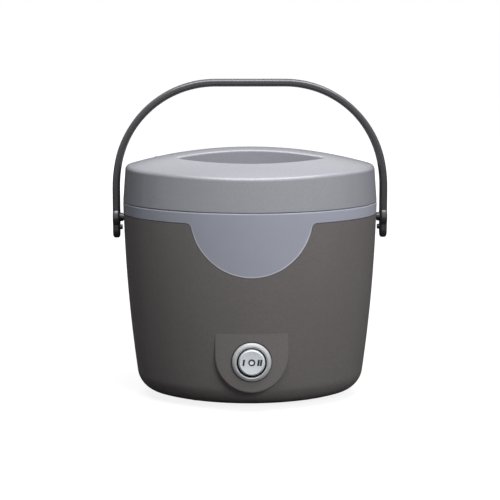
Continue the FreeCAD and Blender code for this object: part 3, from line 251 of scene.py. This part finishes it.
@dataclass(frozen=True)
class HemHighlightPlastic(MouldedPlastic):
    """Moulded collar whose round tongue has a painted highlight along its hem, where the edge catches light.

    Attributes:
        node: Node that has the tongue.
        band_mm: Height of the band that the tongue hangs from.
        tongue_mm: Radius of the tongue.
        hem_mm: Width of the hem's painted highlight.
        fade_mm: Width over which the painted highlight fades in.
        root_mm: Height over which the painted highlight fades out below the band.
        hem_highlight_colour: Colour of the painted highlight.
    """

    node: str = "rim_collar"
    band_mm: float = 6.9
    tongue_mm: float = 35.2
    hem_mm: float = 1.0
    fade_mm: float = 0.3
    root_mm: float = 8.0
    hem_highlight_colour: str = "#a8a9b2"

    def masked(self, tree: Tree, place: Socket, tint: Socket) -> Socket:
        """Paints a highlight along the hem of the tongue, where its edge would catch the light.

        Args:
            tree: Node tree of the material.
            place: Place on the piece.
            tint: Colour of the plastic.

        Returns:
            The plastic's colour with the painted highlight on its hem.
        """
        low, high = (Vector(corner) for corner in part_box(self.node))
        axis = Vector(((low.x + high.x) / 2, 0, low.z + self.tongue_mm * MM))
        height = add_node(tree, "ShaderNodeSeparateXYZ", links={"Vector": place}).outputs["Z"]
        inside = (self.tongue_mm - self.hem_mm) * MM
        root = high.z - self.band_mm * MM
        # Painted highlight: the hem turns paler where the tongue's edge would catch the light.
        hem = both_ramps(tree, [
            (reach_from_axis(tree, place, axis), inside, inside + self.fade_mm * MM),
            (height, root, root - self.root_mm * MM),
        ])
        both = add_node(tree, "ShaderNodeMix", {"data_type": "RGBA", "B_Color": linear(self.hem_highlight_colour)},
                        {"Factor_Float": hem, "A_Color": tint})
        return both.outputs[COLOUR_RESULT]


@dataclass(frozen=True)
class FlakedPlastic(Tinted):
    """Plastic or lacquer with metal flake: each flake tilts a little, so light breaks up into fine specks."""

    name: str
    colour: str
    flake_colour: str
    roughness: float
    metallic: float
    coat: float
    ior: float = 1.5
    # Real flake is about 0.05 mm; it is drawn coarser, or the render would lose it.
    flake_mm: float = 0.7
    flake_tilt: float = 0.06
    cloud_mm: float = 40.0
    cloud_detail: float = 2.0
    coat_roughness: float = 0.25

    def material(self) -> bpy.types.Material:
        """Builds the finish from nodes.

        Returns:
            The finish as a material.
        """
        material = blank_material(self.name)
        tree = material.node_tree
        place = add_node(tree, "ShaderNodeTexCoord").outputs["Object"]
        flake = add_node(tree, "ShaderNodeTexVoronoi", {"Scale": per_metre(self.flake_mm)}, {"Vector": place})
        chance = add_node(tree, "ShaderNodeSeparateColor", links={"Color": flake.outputs["Color"]})
        cloud = add_node(tree, "ShaderNodeTexNoise", {
            "Scale": per_metre(self.cloud_mm), "Detail": self.cloud_detail,
        }, {"Vector": place})
        blend = add_node(tree, "ShaderNodeMath", {"operation": "MULTIPLY"}, {
            "Value": chance.outputs["Red"], "Value_001": cloud.outputs["Fac"],
        })
        tint = add_node(tree, "ShaderNodeMix", {
            "data_type": "RGBA", "A_Color": linear(self.colour), "B_Color": linear(self.flake_colour),
        }, {"Factor_Float": blend.outputs["Value"]})
        rough = add_node(tree, "ShaderNodeMapRange", {
            "To Min": self.roughness - self.flake_tilt, "To Max": self.roughness + self.flake_tilt,
        }, {"Value": chance.outputs["Green"]})
        bump = add_node(tree, "ShaderNodeBump", {"Strength": self.flake_tilt, "Distance": self.flake_mm * MM},
                        {"Height": chance.outputs["Blue"]})
        shade(tree, {
            "IOR": self.ior, "Metallic": self.metallic,
            "Coat Weight": self.coat, "Coat Roughness": self.coat_roughness,
        }, {
            "Base Color": self.masked(tree, place, tint.outputs[COLOUR_RESULT]),
            "Roughness": rough.outputs["Result"],
            "Normal": bump.outputs["Normal"],
        })
        return material


@dataclass(frozen=True)
class LacquerShadedRing(FlakedPlastic):
    """Silver lacquer on the front of a ring, with painted shade: black in its throat and round its foot.

    Attributes:
        node: Node whose middle the lacquer is round.
        throat_mm: Radius of the throat, round the ring's axis from front to back.
        foot_mm: Radius outside which the ring's foot begins.
        painted_shade_colour: Colour of the painted shade.
        shade_fade_mm: Width over which the lacquer gives way to the painted shade.
    """

    node: str = "switch_bezel"
    throat_mm: float = 8.6
    foot_mm: float = 11.35
    painted_shade_colour: str = "#111113"
    shade_fade_mm: float = 0.15

    def masked(self, tree: Tree, place: Socket, tint: Socket) -> Socket:
        """Paints shade over the flaked colour inside the throat and on the foot.

        Args:
            tree: Node tree of the material.
            place: Place on the piece.
            tint: Colour of the lacquer.

        Returns:
            The colour of lacquer and painted shade together.
        """
        low, high = (Vector(corner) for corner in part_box(self.node))
        reach = reach_from_axis(tree, place, (low + high) / 2)
        # Painted shade: black inside the throat for the gap round the rocker, and a painted shadow line round
        # the foot.
        lacquer = both_ramps(tree, [
            (reach, self.throat_mm * MM, (self.throat_mm + self.shade_fade_mm) * MM),
            (reach, self.foot_mm * MM, (self.foot_mm - self.shade_fade_mm) * MM),
        ])
        both = add_node(tree, "ShaderNodeMix", {"data_type": "RGBA", "A_Color": linear(self.painted_shade_colour)},
                        {"Factor_Float": lacquer, "B_Color": tint})
        return both.outputs[COLOUR_RESULT]


@dataclass(frozen=True)
class WorkedMetal:
    """Drawn, rolled or plated metal: fine lines along one direction that stretch the highlights."""

    name: str
    colour: str
    line_colour: str
    roughness: float
    # Real lines are about 0.05 mm apart; they are drawn coarser, or the render would lose them.
    line_mm: float
    lines: Grain
    anisotropic: float = 0.4
    line_detail: float = 4.0
    line_strength: float = 0.1
    depth_share: float = 0.1
    roughness_share: float = 0.2

    def material(self) -> bpy.types.Material:
        """Builds the finish from nodes.

        Returns:
            The finish as a material.
        """
        material = blank_material(self.name)
        tree = material.node_tree
        place = add_node(tree, "ShaderNodeTexCoord").outputs["Object"]
        stretched = add_node(tree, "ShaderNodeMapping", {"Scale": self.lines.value}, {"Vector": place})
        line = add_node(tree, "ShaderNodeTexNoise", {
            "Scale": per_metre(self.line_mm), "Detail": self.line_detail,
        }, {"Vector": stretched.outputs["Vector"]})
        tint = add_node(tree, "ShaderNodeMix", {
            "data_type": "RGBA", "A_Color": linear(self.colour), "B_Color": linear(self.line_colour),
        }, {"Factor_Float": line.outputs["Fac"]})
        rough = add_node(tree, "ShaderNodeMapRange", {
            "To Min": self.roughness * (1 - self.roughness_share),
            "To Max": self.roughness * (1 + self.roughness_share),
        }, {"Value": line.outputs["Fac"]})
        bump = add_node(tree, "ShaderNodeBump", {
            "Strength": self.line_strength, "Distance": self.line_mm * self.depth_share * MM,
        }, {"Height": line.outputs["Fac"]})
        shade(tree, {"Metallic": 1.0, "Anisotropic": self.anisotropic}, {
            "Base Color": tint.outputs[COLOUR_RESULT],
            "Roughness": rough.outputs["Result"],
            "Normal": bump.outputs["Normal"],
        })
        return material


@dataclass(frozen=True)
class SoftSolid:
    """Rubber, silicone, felt or cured insulation: matt and slightly open, with a soft edge to the light."""

    name: str
    colour: str
    fleck_colour: str
    roughness: float
    # Real pores and fibres are about 0.1 mm; they are drawn coarser, or the render would lose them.
    fleck_mm: float
    fleck_depth_mm: float
    sheen: float
    ior: float = 1.45
    fleck_detail: float = 5.0
    fleck_strength: float = 0.6

    def material(self) -> bpy.types.Material:
        """Builds the finish from nodes.

        Returns:
            The finish as a material.
        """
        material = blank_material(self.name)
        tree = material.node_tree
        place = add_node(tree, "ShaderNodeTexCoord").outputs["Object"]
        fleck = add_node(tree, "ShaderNodeTexNoise", {
            "Scale": per_metre(self.fleck_mm), "Detail": self.fleck_detail,
        }, {"Vector": place})
        tint = add_node(tree, "ShaderNodeMix", {
            "data_type": "RGBA", "A_Color": linear(self.colour), "B_Color": linear(self.fleck_colour),
        }, {"Factor_Float": fleck.outputs["Fac"]})
        bump = add_node(tree, "ShaderNodeBump", {
            "Strength": self.fleck_strength, "Distance": self.fleck_depth_mm * MM,
        }, {"Height": fleck.outputs["Fac"]})
        shade(tree, {"Roughness": self.roughness, "Sheen Weight": self.sheen, "IOR": self.ior}, {
            "Base Color": tint.outputs[COLOUR_RESULT],
            "Normal": bump.outputs["Normal"],
        })
        return material


# ABS with silver mica in the melt: a broad sheen that follows the light, with crisp lines on the sharp edges.
LID_ABS = FlakedPlastic(
    "abs_moulded_silver_grey", "#828389", "#8b8c92", roughness=0.5, metallic=0.2, coat=0.4, flake_tilt=0.02)
# Polypropylene from a smoother tool: a little bluer and glossier than the lid, with a painted highlight on
# its hem.
COLLAR_PP = HemHighlightPlastic(
    "polypropylene_moulded_blue_grey", "#8d909b", "#878a95", roughness=0.36, grain_depth_mm=0.003)
# ABS with mica in the melt: warm and dark, with a silky sheen that follows the light.
SHELL_ABS = FlakedPlastic(
    "abs_moulded_mica_taupe", "#646060", "#6f6b6b", roughness=0.46, metallic=0.25, coat=0.05, flake_tilt=0.03)
# Nylon, moulded and lacquered: a soft dark grey with long highlights that run round the bends.
BAIL_NYLON = FlakedPlastic(
    "nylon_lacquered_charcoal", "#29292c", "#313135", roughness=0.4, metallic=0.3, coat=0.9, ior=1.53,
    flake_mm=0.5, flake_tilt=0.01)
# Black ABS sprayed with silver lacquer: bright where it faces the light, grey where it turns; throat and foot
# painted black as shade.
BEZEL_SILVER = LacquerShadedRing(
    "abs_lacquered_silver", "#a6a7a9", "#b0b1b3", roughness=0.45, metallic=0.1, coat=0.0, flake_mm=0.5)
# ABS in a flatter, paler silver lacquer: an even ground on which the printed marks read.
ROCKER_SILVER = FlakedPlastic(
    "abs_lacquered_pale_silver", "#c6cbcf", "#d2d6da", roughness=0.5, metallic=0.15, coat=0.0, flake_mm=0.5)
# Nylon, moulded in black for housings: a dense dark with a satin skin.
HOUSING_BLACK = MouldedPlastic(
    "nylon_moulded_black", "#1d1d1f", "#19191b", roughness=0.45, ior=1.53, grain_mm=0.8)
# Polypropylene, moulded in black: a coarse matt grain that hides scratches under the base.
BASE_PP = MouldedPlastic(
    "polypropylene_moulded_black", "#232325", "#1e1e20", roughness=0.6, ior=1.49,
    grain_mm=1.0, grain_depth_mm=0.03)
# Polypropylene, moulded in white for food: waxy, clean and softly glossy.
LINER_PP = MouldedPlastic(
    "polypropylene_moulded_white", "#e4e4e0", "#dcdcd8", roughness=0.4, ior=1.49,
    grain_mm=0.8, grain_depth_mm=0.006)
# Phenolic, compression moulded: brown-black with a dull skin.
PHENOLIC = MouldedPlastic(
    "phenolic_moulded_brown", "#3a2a20", "#2e2119", roughness=0.5, ior=1.6, grain_mm=0.7, grain_depth_mm=0.02)
# Ink, pad printed: thin, dark and slightly glossier than what it lies on.
MARK_INK = MouldedPlastic(
    "ink_printed_dark", "#262a33", "#20242c", roughness=0.4, ior=1.5, grain_mm=0.3, grain_depth_mm=0.002)
# Ceramic, glazed: cream, with a hard and even gloss.
FUSE_CERAMIC = MouldedPlastic(
    "ceramic_glazed_cream", "#d6cfb8", "#cbc4ac", roughness=0.25, ior=1.55,
    grain_mm=0.8, grain_depth_mm=0.004)
# Aluminium, drawn and satin-anodised: pale, with soft upright draw lines.
POT_ALUMINIUM = WorkedMetal(
    "aluminium_drawn_anodised", "#c9cacc", "#bcbdc0", roughness=0.34, line_mm=0.6, lines=Grain.UPRIGHT)
# Aluminium sheet as drawn: brighter, with the lubricant's faint streaks.
WELL_ALUMINIUM = WorkedMetal(
    "aluminium_drawn_bright", "#d0d1d3", "#c2c3c6", roughness=0.26, line_mm=0.8, lines=Grain.UPRIGHT)
# Aluminium plate, rolled: a duller grey, with the mill's lines across it.
PLATE_ALUMINIUM = WorkedMetal(
    "aluminium_rolled", "#bfc0c2", "#b1b2b5", roughness=0.42, line_mm=0.5, lines=Grain.ACROSS)
# Stainless steel sheath, drawn: its heat has tinted it to straw.
ELEMENT_STEEL = WorkedMetal(
    "stainless_drawn_tinted", "#8f8578", "#7c7266", roughness=0.36, line_mm=0.4, lines=Grain.ACROSS)
# Steel, zinc plated and passivated: a cool, slightly clouded brightness.
ZINC_STEEL = WorkedMetal(
    "steel_zinc_plated", "#b6b8bb", "#a4a7ac", roughness=0.32,
    line_mm=0.4, lines=Grain.ACROSS, anisotropic=0.1)
# Brass, stamped from strip: warm yellow, with the strip's faint lines.
BRASS = WorkedMetal(
    "brass_stamped", "#c7ab6a", "#b89b5b", roughness=0.3, line_mm=0.4, lines=Grain.ACROSS, anisotropic=0.2)
# Rubber, compression moulded: black and dead matt, with a bloom at the edges.
FOOT_RUBBER = SoftSolid(
    "rubber_moulded_black", "#1b1b1c", "#232324", roughness=0.75,
    fleck_mm=0.6, fleck_depth_mm=0.02, sheen=0.1)
# Silicone, moulded and cured: pale and smooth, with a soft skin.
SEAL_SILICONE = SoftSolid(
    "silicone_moulded_grey", "#b9bbbd", "#c4c6c8", roughness=0.5,
    fleck_mm=0.9, fleck_depth_mm=0.006, sheen=0.1)
# Glass-fibre felt, needled: cream, fuzzy and uneven.
BLANKET_FELT = SoftSolid(
    "glass_felt_needled", "#d8d2bd", "#c6bfa8", roughness=0.95, fleck_mm=1.2, fleck_depth_mm=0.4, sheen=0.4)
# Silicone-covered wire, extruded: a full colour with a smooth, faintly dusty skin.
LEAD_RED, LEAD_BLUE, LEAD_WHITE = (
    SoftSolid(f"silicone_extruded_{name}", colour, fleck_colour,
              roughness=0.45, fleck_mm=0.8, fleck_depth_mm=0.004, sheen=0.05)
    for name, colour, fleck_colour in (
        ("red", "#9d2a26", "#8b2320"),
        ("blue", "#2a4a86", "#244074"),
        ("white", "#d9d7d0", "#cdcbc4"),
    )
)


def finished(finish: Finish) -> bpy.types.Material:
    """Returns the finish's material, made the first time that it is asked for."""
    return bpy.data.materials.get(finish.name) or finish.material()


@dataclass
class SubAssembly:
    """Pieces that belong together, with the finish of each.

    Attributes:
        finishes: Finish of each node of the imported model, by the node's name.
    """

    finishes: dict[str, Finish]

    def build(self) -> list[bpy.types.Object]:
        """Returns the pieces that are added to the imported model's, none unless a sub-assembly has some."""
        return []

    def dress(self) -> None:
        """Gives each node its finish."""
        for name, finish in self.finishes.items():
            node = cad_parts[name]
            node.material_slots[0].material = finished(finish)
            node.modifiers.new("even_shading", "WEIGHTED_NORMAL").keep_sharp = True
            LOG.info("%s: %s", name, finish.name)


@dataclass
class Shell(SubAssembly):
    """Outer bucket, and what closes it and stands it up."""

    finishes: dict[str, Finish] = field(default_factory=lambda: {
        "outer_shell": SHELL_ABS,
        "base_plate": BASE_PP,
        "base_screws": ZINC_STEEL,
        "rubber_feet": FOOT_RUBBER,
    })


@dataclass
class Collar(SubAssembly):
    """Ring round the mouth, with its front tongue."""

    finishes: dict[str, Finish] = field(default_factory=lambda: {"rim_collar": COLLAR_PP})


@dataclass
class Heater(SubAssembly):
    """Pot, well and everything that heats them."""

    finishes: dict[str, Finish] = field(default_factory=lambda: {
        "food_pot": POT_ALUMINIUM,
        "heat_well": WELL_ALUMINIUM,
        "insulation": BLANKET_FELT,
        "heater_plate": PLATE_ALUMINIUM,
        "heating_element": ELEMENT_STEEL,
        "element_terminal": PHENOLIC,
        "clamp_nuts": ZINC_STEEL,
        "thermostat": PHENOLIC,
        "thermal_fuse": FUSE_CERAMIC,
        "fuse_clip": ZINC_STEEL,
    })


@dataclass
class Lid(SubAssembly):
    """Cover with its liner, seal and vent."""

    finishes: dict[str, Finish] = field(default_factory=lambda: {
        "lid_cover": LID_ABS,
        "steam_vent": HOUSING_BLACK,
        "lid_liner": LINER_PP,
        "lid_seal": SEAL_SILICONE,
    })


@dataclass
class Bail(SubAssembly):
    """Carrying handle and its pivots."""

    finishes: dict[str, Finish] = field(default_factory=lambda: {
        "bail_handle": BAIL_NYLON,
        "pivot_pin_right": BAIL_NYLON,
        "pivot_pin_left": BAIL_NYLON,
        "pivot_washers": ZINC_STEEL,
    })


@dataclass
class Wiring(SubAssembly):
    """Inlet and the leads inside the base."""

    finishes: dict[str, Finish] = field(default_factory=lambda: {
        "power_inlet": HOUSING_BLACK,
        "inlet_pins": BRASS,
        "live_lead": LEAD_RED,
        "high_lead": LEAD_RED,
        "thermostat_lead": LEAD_WHITE,
        "warm_lead": LEAD_WHITE,
        "neutral_lead": LEAD_BLUE,
    })


@dataclass
class RockerSwitch(SubAssembly):
    """Three-position switch with its marks printed on the dished face of the rocker.

    Attributes:
        finishes: Finish of each node.
        mark_height_mm: Height of a bar.
        bar_stroke_mm: Width of a bar.
        ring_across_mm: Diameter of the ring.
        ring_stroke_mm: Width of the ring's line.
        mark_side_mm: Distance of the bars from the middle.
        pair_pitch_mm: Distance between the two bars of a pair.
        lean_deg: Lean of the bars to the right.
        ink_mm: Half of the ink's thickness, and how far its middle lies in front of the face.
        weld_mm: Distance below which two points of a mark are one.
        ray_start_mm: How far in front of the rocker the rays start that find its face.
        bar_steps: Rows of faces along a bar.
        ring_steps: Faces round the ring.
    """

    finishes: dict[str, Finish] = field(default_factory=lambda: {
        "switch_bezel": BEZEL_SILVER,
        "switch_rocker": ROCKER_SILVER,
        "switch_body": HOUSING_BLACK,
        "switch_terminals": BRASS,
    })
    mark_height_mm: float = 3.6
    bar_stroke_mm: float = 1.1
    ring_across_mm: float = 4.0
    ring_stroke_mm: float = 0.8
    mark_side_mm: float = 4.6
    pair_pitch_mm: float = 1.45
    lean_deg: float = 8.0
    ink_mm: float = 0.03
    weld_mm: float = 0.003
    ray_start_mm: float = 30.0
    bar_steps: int = 8
    ring_steps: int = 40

    def build(self) -> list[bpy.types.Object]:
        """Prints the marks of the three positions: one bar, a ring and two bars.

        Returns:
            The three marks.
        """
        pair = [self.bar_outline(self.mark_side_mm + step * self.pair_pitch_mm / 2) for step in (-1, 1)]
        return [
            self.print_mark("mark_low", [self.bar_outline(-self.mark_side_mm)]),
            self.print_mark("mark_off", [self.ring_outline()]),
            self.print_mark("mark_high", pair),
        ]

    def bar_outline(self, across_mm: float) -> Rows:
        """Works out the points of one leaning bar, as (across, up) from the rocker's middle.

        Args:
            across_mm: Place of the bar's middle.

        Returns:
            Rows from the foot of the bar to its head, each from left to right.
        """
        rows = []
        for step in range(self.bar_steps + 1):
            up = (step / self.bar_steps - 0.5) * self.mark_height_mm
            middle = across_mm + up * math.tan(math.radians(self.lean_deg))
            rows.append([(middle + side * self.bar_stroke_mm / 2, up) for side in (-1, 1)])
        return rows

    def ring_outline(self) -> Rows:
        """Works out the points of the ring, as (across, up) from the rocker's middle.

        Returns:
            Rows across the ring's line, with the first row again at the end.
        """
        outer = self.ring_across_mm / 2
        rows = []
        for step in range(self.ring_steps + 1):
            turn = math.tau * step / self.ring_steps
            rows.append([(radius * math.cos(turn), radius * math.sin(turn))
                         for radius in (outer, outer - self.ring_stroke_mm)])
        return rows

    def print_mark(self, name: str, strips: list[Rows]) -> bpy.types.Object:
        """Lays strips of ink on the rocker's face.

        Args:
            name: Name of the piece.
            strips: Strips of rows of points, in millimetres from the rocker's middle.

        Returns:
            The mark, which rides on the rocker.
        """
        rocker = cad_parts["switch_rocker"].data
        low, high = (Vector(corner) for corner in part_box("switch_rocker"))
        middle = (low + high) / 2
        face = BVHTree.FromPolygons([v.co for v in rocker.vertices], [p.vertices for p in rocker.polygons])
        inward = Vector((0, 1, 0))
        proud = inward * self.ink_mm * MM
        front = low.y - self.ray_start_mm * MM
        shape = bmesh.new()
        for strip in strips:
            rows = []
            for row in strip:
                starts = [Vector((middle.x + x * MM, front, middle.z + z * MM)) for x, z in row]
                hits = [face.ray_cast(start, inward)[0] for start in starts]
                rows.append([shape.verts.new(hit - proud) for hit in hits])
            for near, far in zip(rows, rows[1:]):
                shape.faces.new((near[0], near[1], far[1], far[0]))
        bmesh.ops.remove_doubles(shape, verts=shape.verts, dist=self.weld_mm * MM)
        bmesh.ops.recalc_face_normals(shape, faces=shape.faces)
        mesh = bpy.data.meshes.new(name)
        shape.to_mesh(mesh)
        shape.free()
        mark = bpy.data.objects.new(name, mesh)
        bpy.context.scene.collection.objects.link(mark)
        thick = mark.modifiers.new("ink", "SOLIDIFY")
        thick.thickness = 2 * self.ink_mm * MM
        thick.offset = 0
        mesh.materials.append(finished(MARK_INK))
        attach(mark, "rocker")
        return mark


@dataclass(frozen=True)
class Softbox:
    """Lamp behind a sheet of diffuser.

    Attributes:
        place_mm: Its centre.
        size_mm: Its width and height.
        watts: Its power.
        mirrored: If reflections show it.
    """

    place_mm: Triple
    size_mm: tuple[float, float]
    watts: float
    mirrored: bool = True


@dataclass(frozen=True)
class Card:
    """Black card beside the set.

    Attributes:
        place_mm: Its centre.
        size_mm: Its width and height.
        faces: Direction that its front looks in.
    """

    place_mm: Triple
    size_mm: tuple[float, float]
    faces: Triple


@dataclass
class Studio:
    """Camera, paper floor, soft lamps, black cards and white surroundings.

    Attributes:
        frame_px: Width of the picture.
        focal_px: Focal length in pixels of that picture.
        sensor_mm: Width of the camera's sensor.
        distance_mm: Distance of the camera from what it looks at.
        target_height_mm: Height of what it looks at.
        pitch_deg: How far the camera looks down.
        yaw_deg: How far the camera stands round the object.
        floor_mm: Side of the paper floor.
        paper_colour: Colour of the paper as light finds it.
        paper_glow: How white the paper looks near the object, before the lamps' light.
        glow_near_mm: Distance from the object at which the paper begins to turn to full white.
        glow_far_mm: Distance from which it is full white.
        world_colour: Colour of the surroundings.
        world_level: How much the surroundings light the object, against how white they look.
        card_colour: Colour of the cards.
        card_fleck_colour: Colour of the flecks in the cards.
        card_flecks: About how many flecks there are across a card.
        card_roughness: Roughness of the cards.
        lamps: Lamps by name.
        cards: Cards by name.
    """

    frame_px: float = 500.0
    focal_px: float = 1750.0
    sensor_mm: float = 36.0
    distance_mm: float = 1050.0
    target_height_mm: float = 86.46
    pitch_deg: float = 8.83
    yaw_deg: float = -1.0
    floor_mm: float = 12000.0
    paper_colour: str = "#6c6c6c"
    paper_glow: float = 0.86
    glow_near_mm: float = 220.0
    glow_far_mm: float = 520.0
    world_colour: str = "#ffffff"
    world_level: float = 0.06
    card_colour: str = "#101010"
    card_fleck_colour: str = "#181818"
    card_flecks: float = 40.0
    card_roughness: float = 0.9
    lamps: dict[str, Softbox] = field(default_factory=lambda: {
        "key": Softbox((540, -900, 640), (600, 500), watts=12.0, mirrored=False),
        "overhead": Softbox((80, -220, 980), (1100, 620), watts=15.0),
        "rear_fill": Softbox((-250, 1200, 600), (900, 900), watts=13.0, mirrored=False),
    })
    cards: dict[str, Card] = field(default_factory=lambda: {
        "card_table": Card((0, 0, 0.5), (2600, 2600), faces=(0, 0, 1)),
        "card_back": Card((0, 1000, 230), (1400, 460), faces=(0, -1, 0)),
        "card_left": Card((-900, 300, 100), (1800, 600), faces=(0.8, -1, 0)),
        "card_right": Card((900, 300, 100), (1800, 600), faces=(-0.8, -1, 0)),
    })

    def build(self) -> None:
        """Builds the whole studio."""
        self.build_camera()
        self.build_floor()
        self.build_world()
        self.build_lamps()
        self.build_cards()
        bpy.context.scene.view_settings.view_transform = "Standard"

    def build_camera(self) -> None:
        """Places the camera at the photograph's viewing angle."""
        data = bpy.data.cameras.new("camera")
        data.sensor_width = self.sensor_mm
        data.lens = self.sensor_mm * self.focal_px / self.frame_px
        camera = bpy.data.objects.new("camera", data)
        bpy.context.scene.collection.objects.link(camera)
        turn = Matrix.Rotation(math.radians(self.yaw_deg), 4, "Z")
        tilt = Matrix.Rotation(math.radians(90 - self.pitch_deg), 4, "X")
        target = Vector((0, 0, self.target_height_mm * MM))
        back = turn @ tilt @ Vector((0, 0, self.distance_mm * MM))
        camera.matrix_world = Matrix.Translation(target + back) @ turn @ tilt
        bpy.context.scene.camera = camera

    def build_floor(self) -> None:
        """Lays white paper that keeps a light shadow of the object."""
        floor = self.flat_panel("floor", (0, 0, 0), (self.floor_mm, self.floor_mm), Vector((0, 0, 1)))
        material = blank_material("paper_white")
        tree = material.node_tree
        place = add_node(tree, "ShaderNodeNewGeometry").outputs["Position"]
        reach = add_node(tree, "ShaderNodeVectorMath", {"operation": "LENGTH"}, {"Vector": place})
        fade = add_node(tree, "ShaderNodeMapRange", {
            "From Min": self.glow_near_mm * MM, "From Max": self.glow_far_mm * MM, "To Min": self.paper_glow,
        }, {"Value": reach.outputs["Value"]})
        level = add_node(tree, "ShaderNodeMath", {"operation": "MULTIPLY"}, {
            "Value": fade.outputs["Result"], "Value_001": self.seen_rays(tree),
        })
        paper = add_node(tree, "ShaderNodeBsdfDiffuse", {"Color": linear(self.paper_colour)})
        glow = add_node(tree, "ShaderNodeEmission", links={"Strength": level.outputs["Value"]})
        both = add_node(tree, "ShaderNodeAddShader", links={
            "Shader": paper.outputs["BSDF"], "Shader_001": glow.outputs["Emission"],
        })
        add_node(tree, "ShaderNodeOutputMaterial", links={"Surface": both.outputs["Shader"]})
        floor.data.materials.append(material)

    def flat_panel(self, name: str, place_mm: Triple, size_mm: tuple[float, float],
                   faces: Vector) -> bpy.types.Object:
        """Adds a flat stage panel.

        Args:
            name: Name of the panel.
            place_mm: Its centre.
            size_mm: Its width and height.
            faces: Direction that its front looks in.

        Returns:
            The panel, which isn't part of the object.
        """
        # The mesh is a square of one metre, which the panel's matrix stretches.
        mesh = bpy.data.meshes.new(name)
        shape = bmesh.new()
        bmesh.ops.create_grid(shape, x_segments=1, y_segments=1, size=0.5)
        shape.to_mesh(mesh)
        shape.free()
        panel = bpy.data.objects.new(name, mesh)
        bpy.context.scene.collection.objects.link(panel)
        width, height = (side * MM for side in size_mm)
        stretch = Matrix.Diagonal((width, height, 1, 1))
        turn = faces.to_track_quat("Z", "Y").to_matrix().to_4x4()
        panel.matrix_world = Matrix.Translation(Vector(place_mm) * MM) @ turn @ stretch
        return panel

    def build_cards(self) -> None:
        """Stands black cards that only reflections see, as the dark studio round a white cut-out picture."""
        material = blank_material("card_black")
        tree = material.node_tree
        place = add_node(tree, "ShaderNodeTexCoord").outputs["Object"]
        fleck = add_node(tree, "ShaderNodeTexNoise", {"Scale": self.card_flecks}, {"Vector": place})
        tint = add_node(tree, "ShaderNodeMix", {
            "data_type": "RGBA",
            "A_Color": linear(self.card_colour),
            "B_Color": linear(self.card_fleck_colour),
        }, {"Factor_Float": fleck.outputs["Fac"]})
        shade(tree, {"Roughness": self.card_roughness}, {"Base Color": tint.outputs[COLOUR_RESULT]})
        for name, card in self.cards.items():
            panel = self.flat_panel(name, card.place_mm, card.size_mm, Vector(card.faces))
            panel.data.materials.append(material)
            panel.visible_camera = False
            panel.visible_diffuse = False
            panel.visible_shadow = False
            panel.visible_transmission = False

    def seen_rays(self, tree: Tree) -> Socket:
        """Tells rays that show the background from rays that light the object.

        Args:
            tree: Node tree of the background's material.

        Returns:
            A factor that is one for camera, glossy and transmission rays.
        """
        path = add_node(tree, "ShaderNodeLightPath")
        direct = add_node(tree, "ShaderNodeMath", {"operation": "MAXIMUM"}, {
            "Value": path.outputs["Is Camera Ray"], "Value_001": path.outputs["Is Glossy Ray"],
        })
        seen = add_node(tree, "ShaderNodeMath", {"operation": "MAXIMUM"}, {
            "Value": direct.outputs["Value"], "Value_001": path.outputs["Is Transmission Ray"],
        })
        return seen.outputs["Value"]

    def build_world(self) -> None:
        """Surrounds the object with white, at a lower level where it lights it."""
        world = bpy.data.worlds.new("white_surroundings")
        world.use_nodes = True
        tree = world.node_tree
        tree.nodes.clear()
        level = add_node(tree, "ShaderNodeMapRange", {"To Min": self.world_level, "To Max": 1.0},
                         {"Value": self.seen_rays(tree)})
        white = add_node(tree, "ShaderNodeBackground", {"Color": linear(self.world_colour)},
                         {"Strength": level.outputs["Result"]})
        add_node(tree, "ShaderNodeOutputWorld", links={"Surface": white.outputs["Background"]})
        bpy.context.scene.world = world

    def build_lamps(self) -> None:
        """Hangs the softboxes, all aimed at the middle of the object."""
        aim = Vector((0, 0, self.target_height_mm * MM))
        for name, softbox in self.lamps.items():
            data = bpy.data.lights.new(name, "AREA")
            data.shape = "RECTANGLE"
            data.size, data.size_y = (side * MM for side in softbox.size_mm)
            data.energy = softbox.watts
            lamp = bpy.data.objects.new(name, data)
            bpy.context.scene.collection.objects.link(lamp)
            lamp.visible_glossy = softbox.mirrored
            place = Vector(softbox.place_mm) * MM
            turn = (aim - place).to_track_quat("-Z", "Y").to_matrix().to_4x4()
            lamp.matrix_world = Matrix.Translation(place) @ turn


def main() -> None:
    """Builds the looks in order."""
    logging.basicConfig(level=logging.INFO, format="%(message)s")
    Studio().build()
    for assembly in (Shell(), Collar(), Heater(), Lid(), Bail(), Wiring(), RockerSwitch()):
        for piece in assembly.build():
            LOG.info("%s: added", piece.name)
        assembly.dress()


if __name__ == "__main__":
    main()
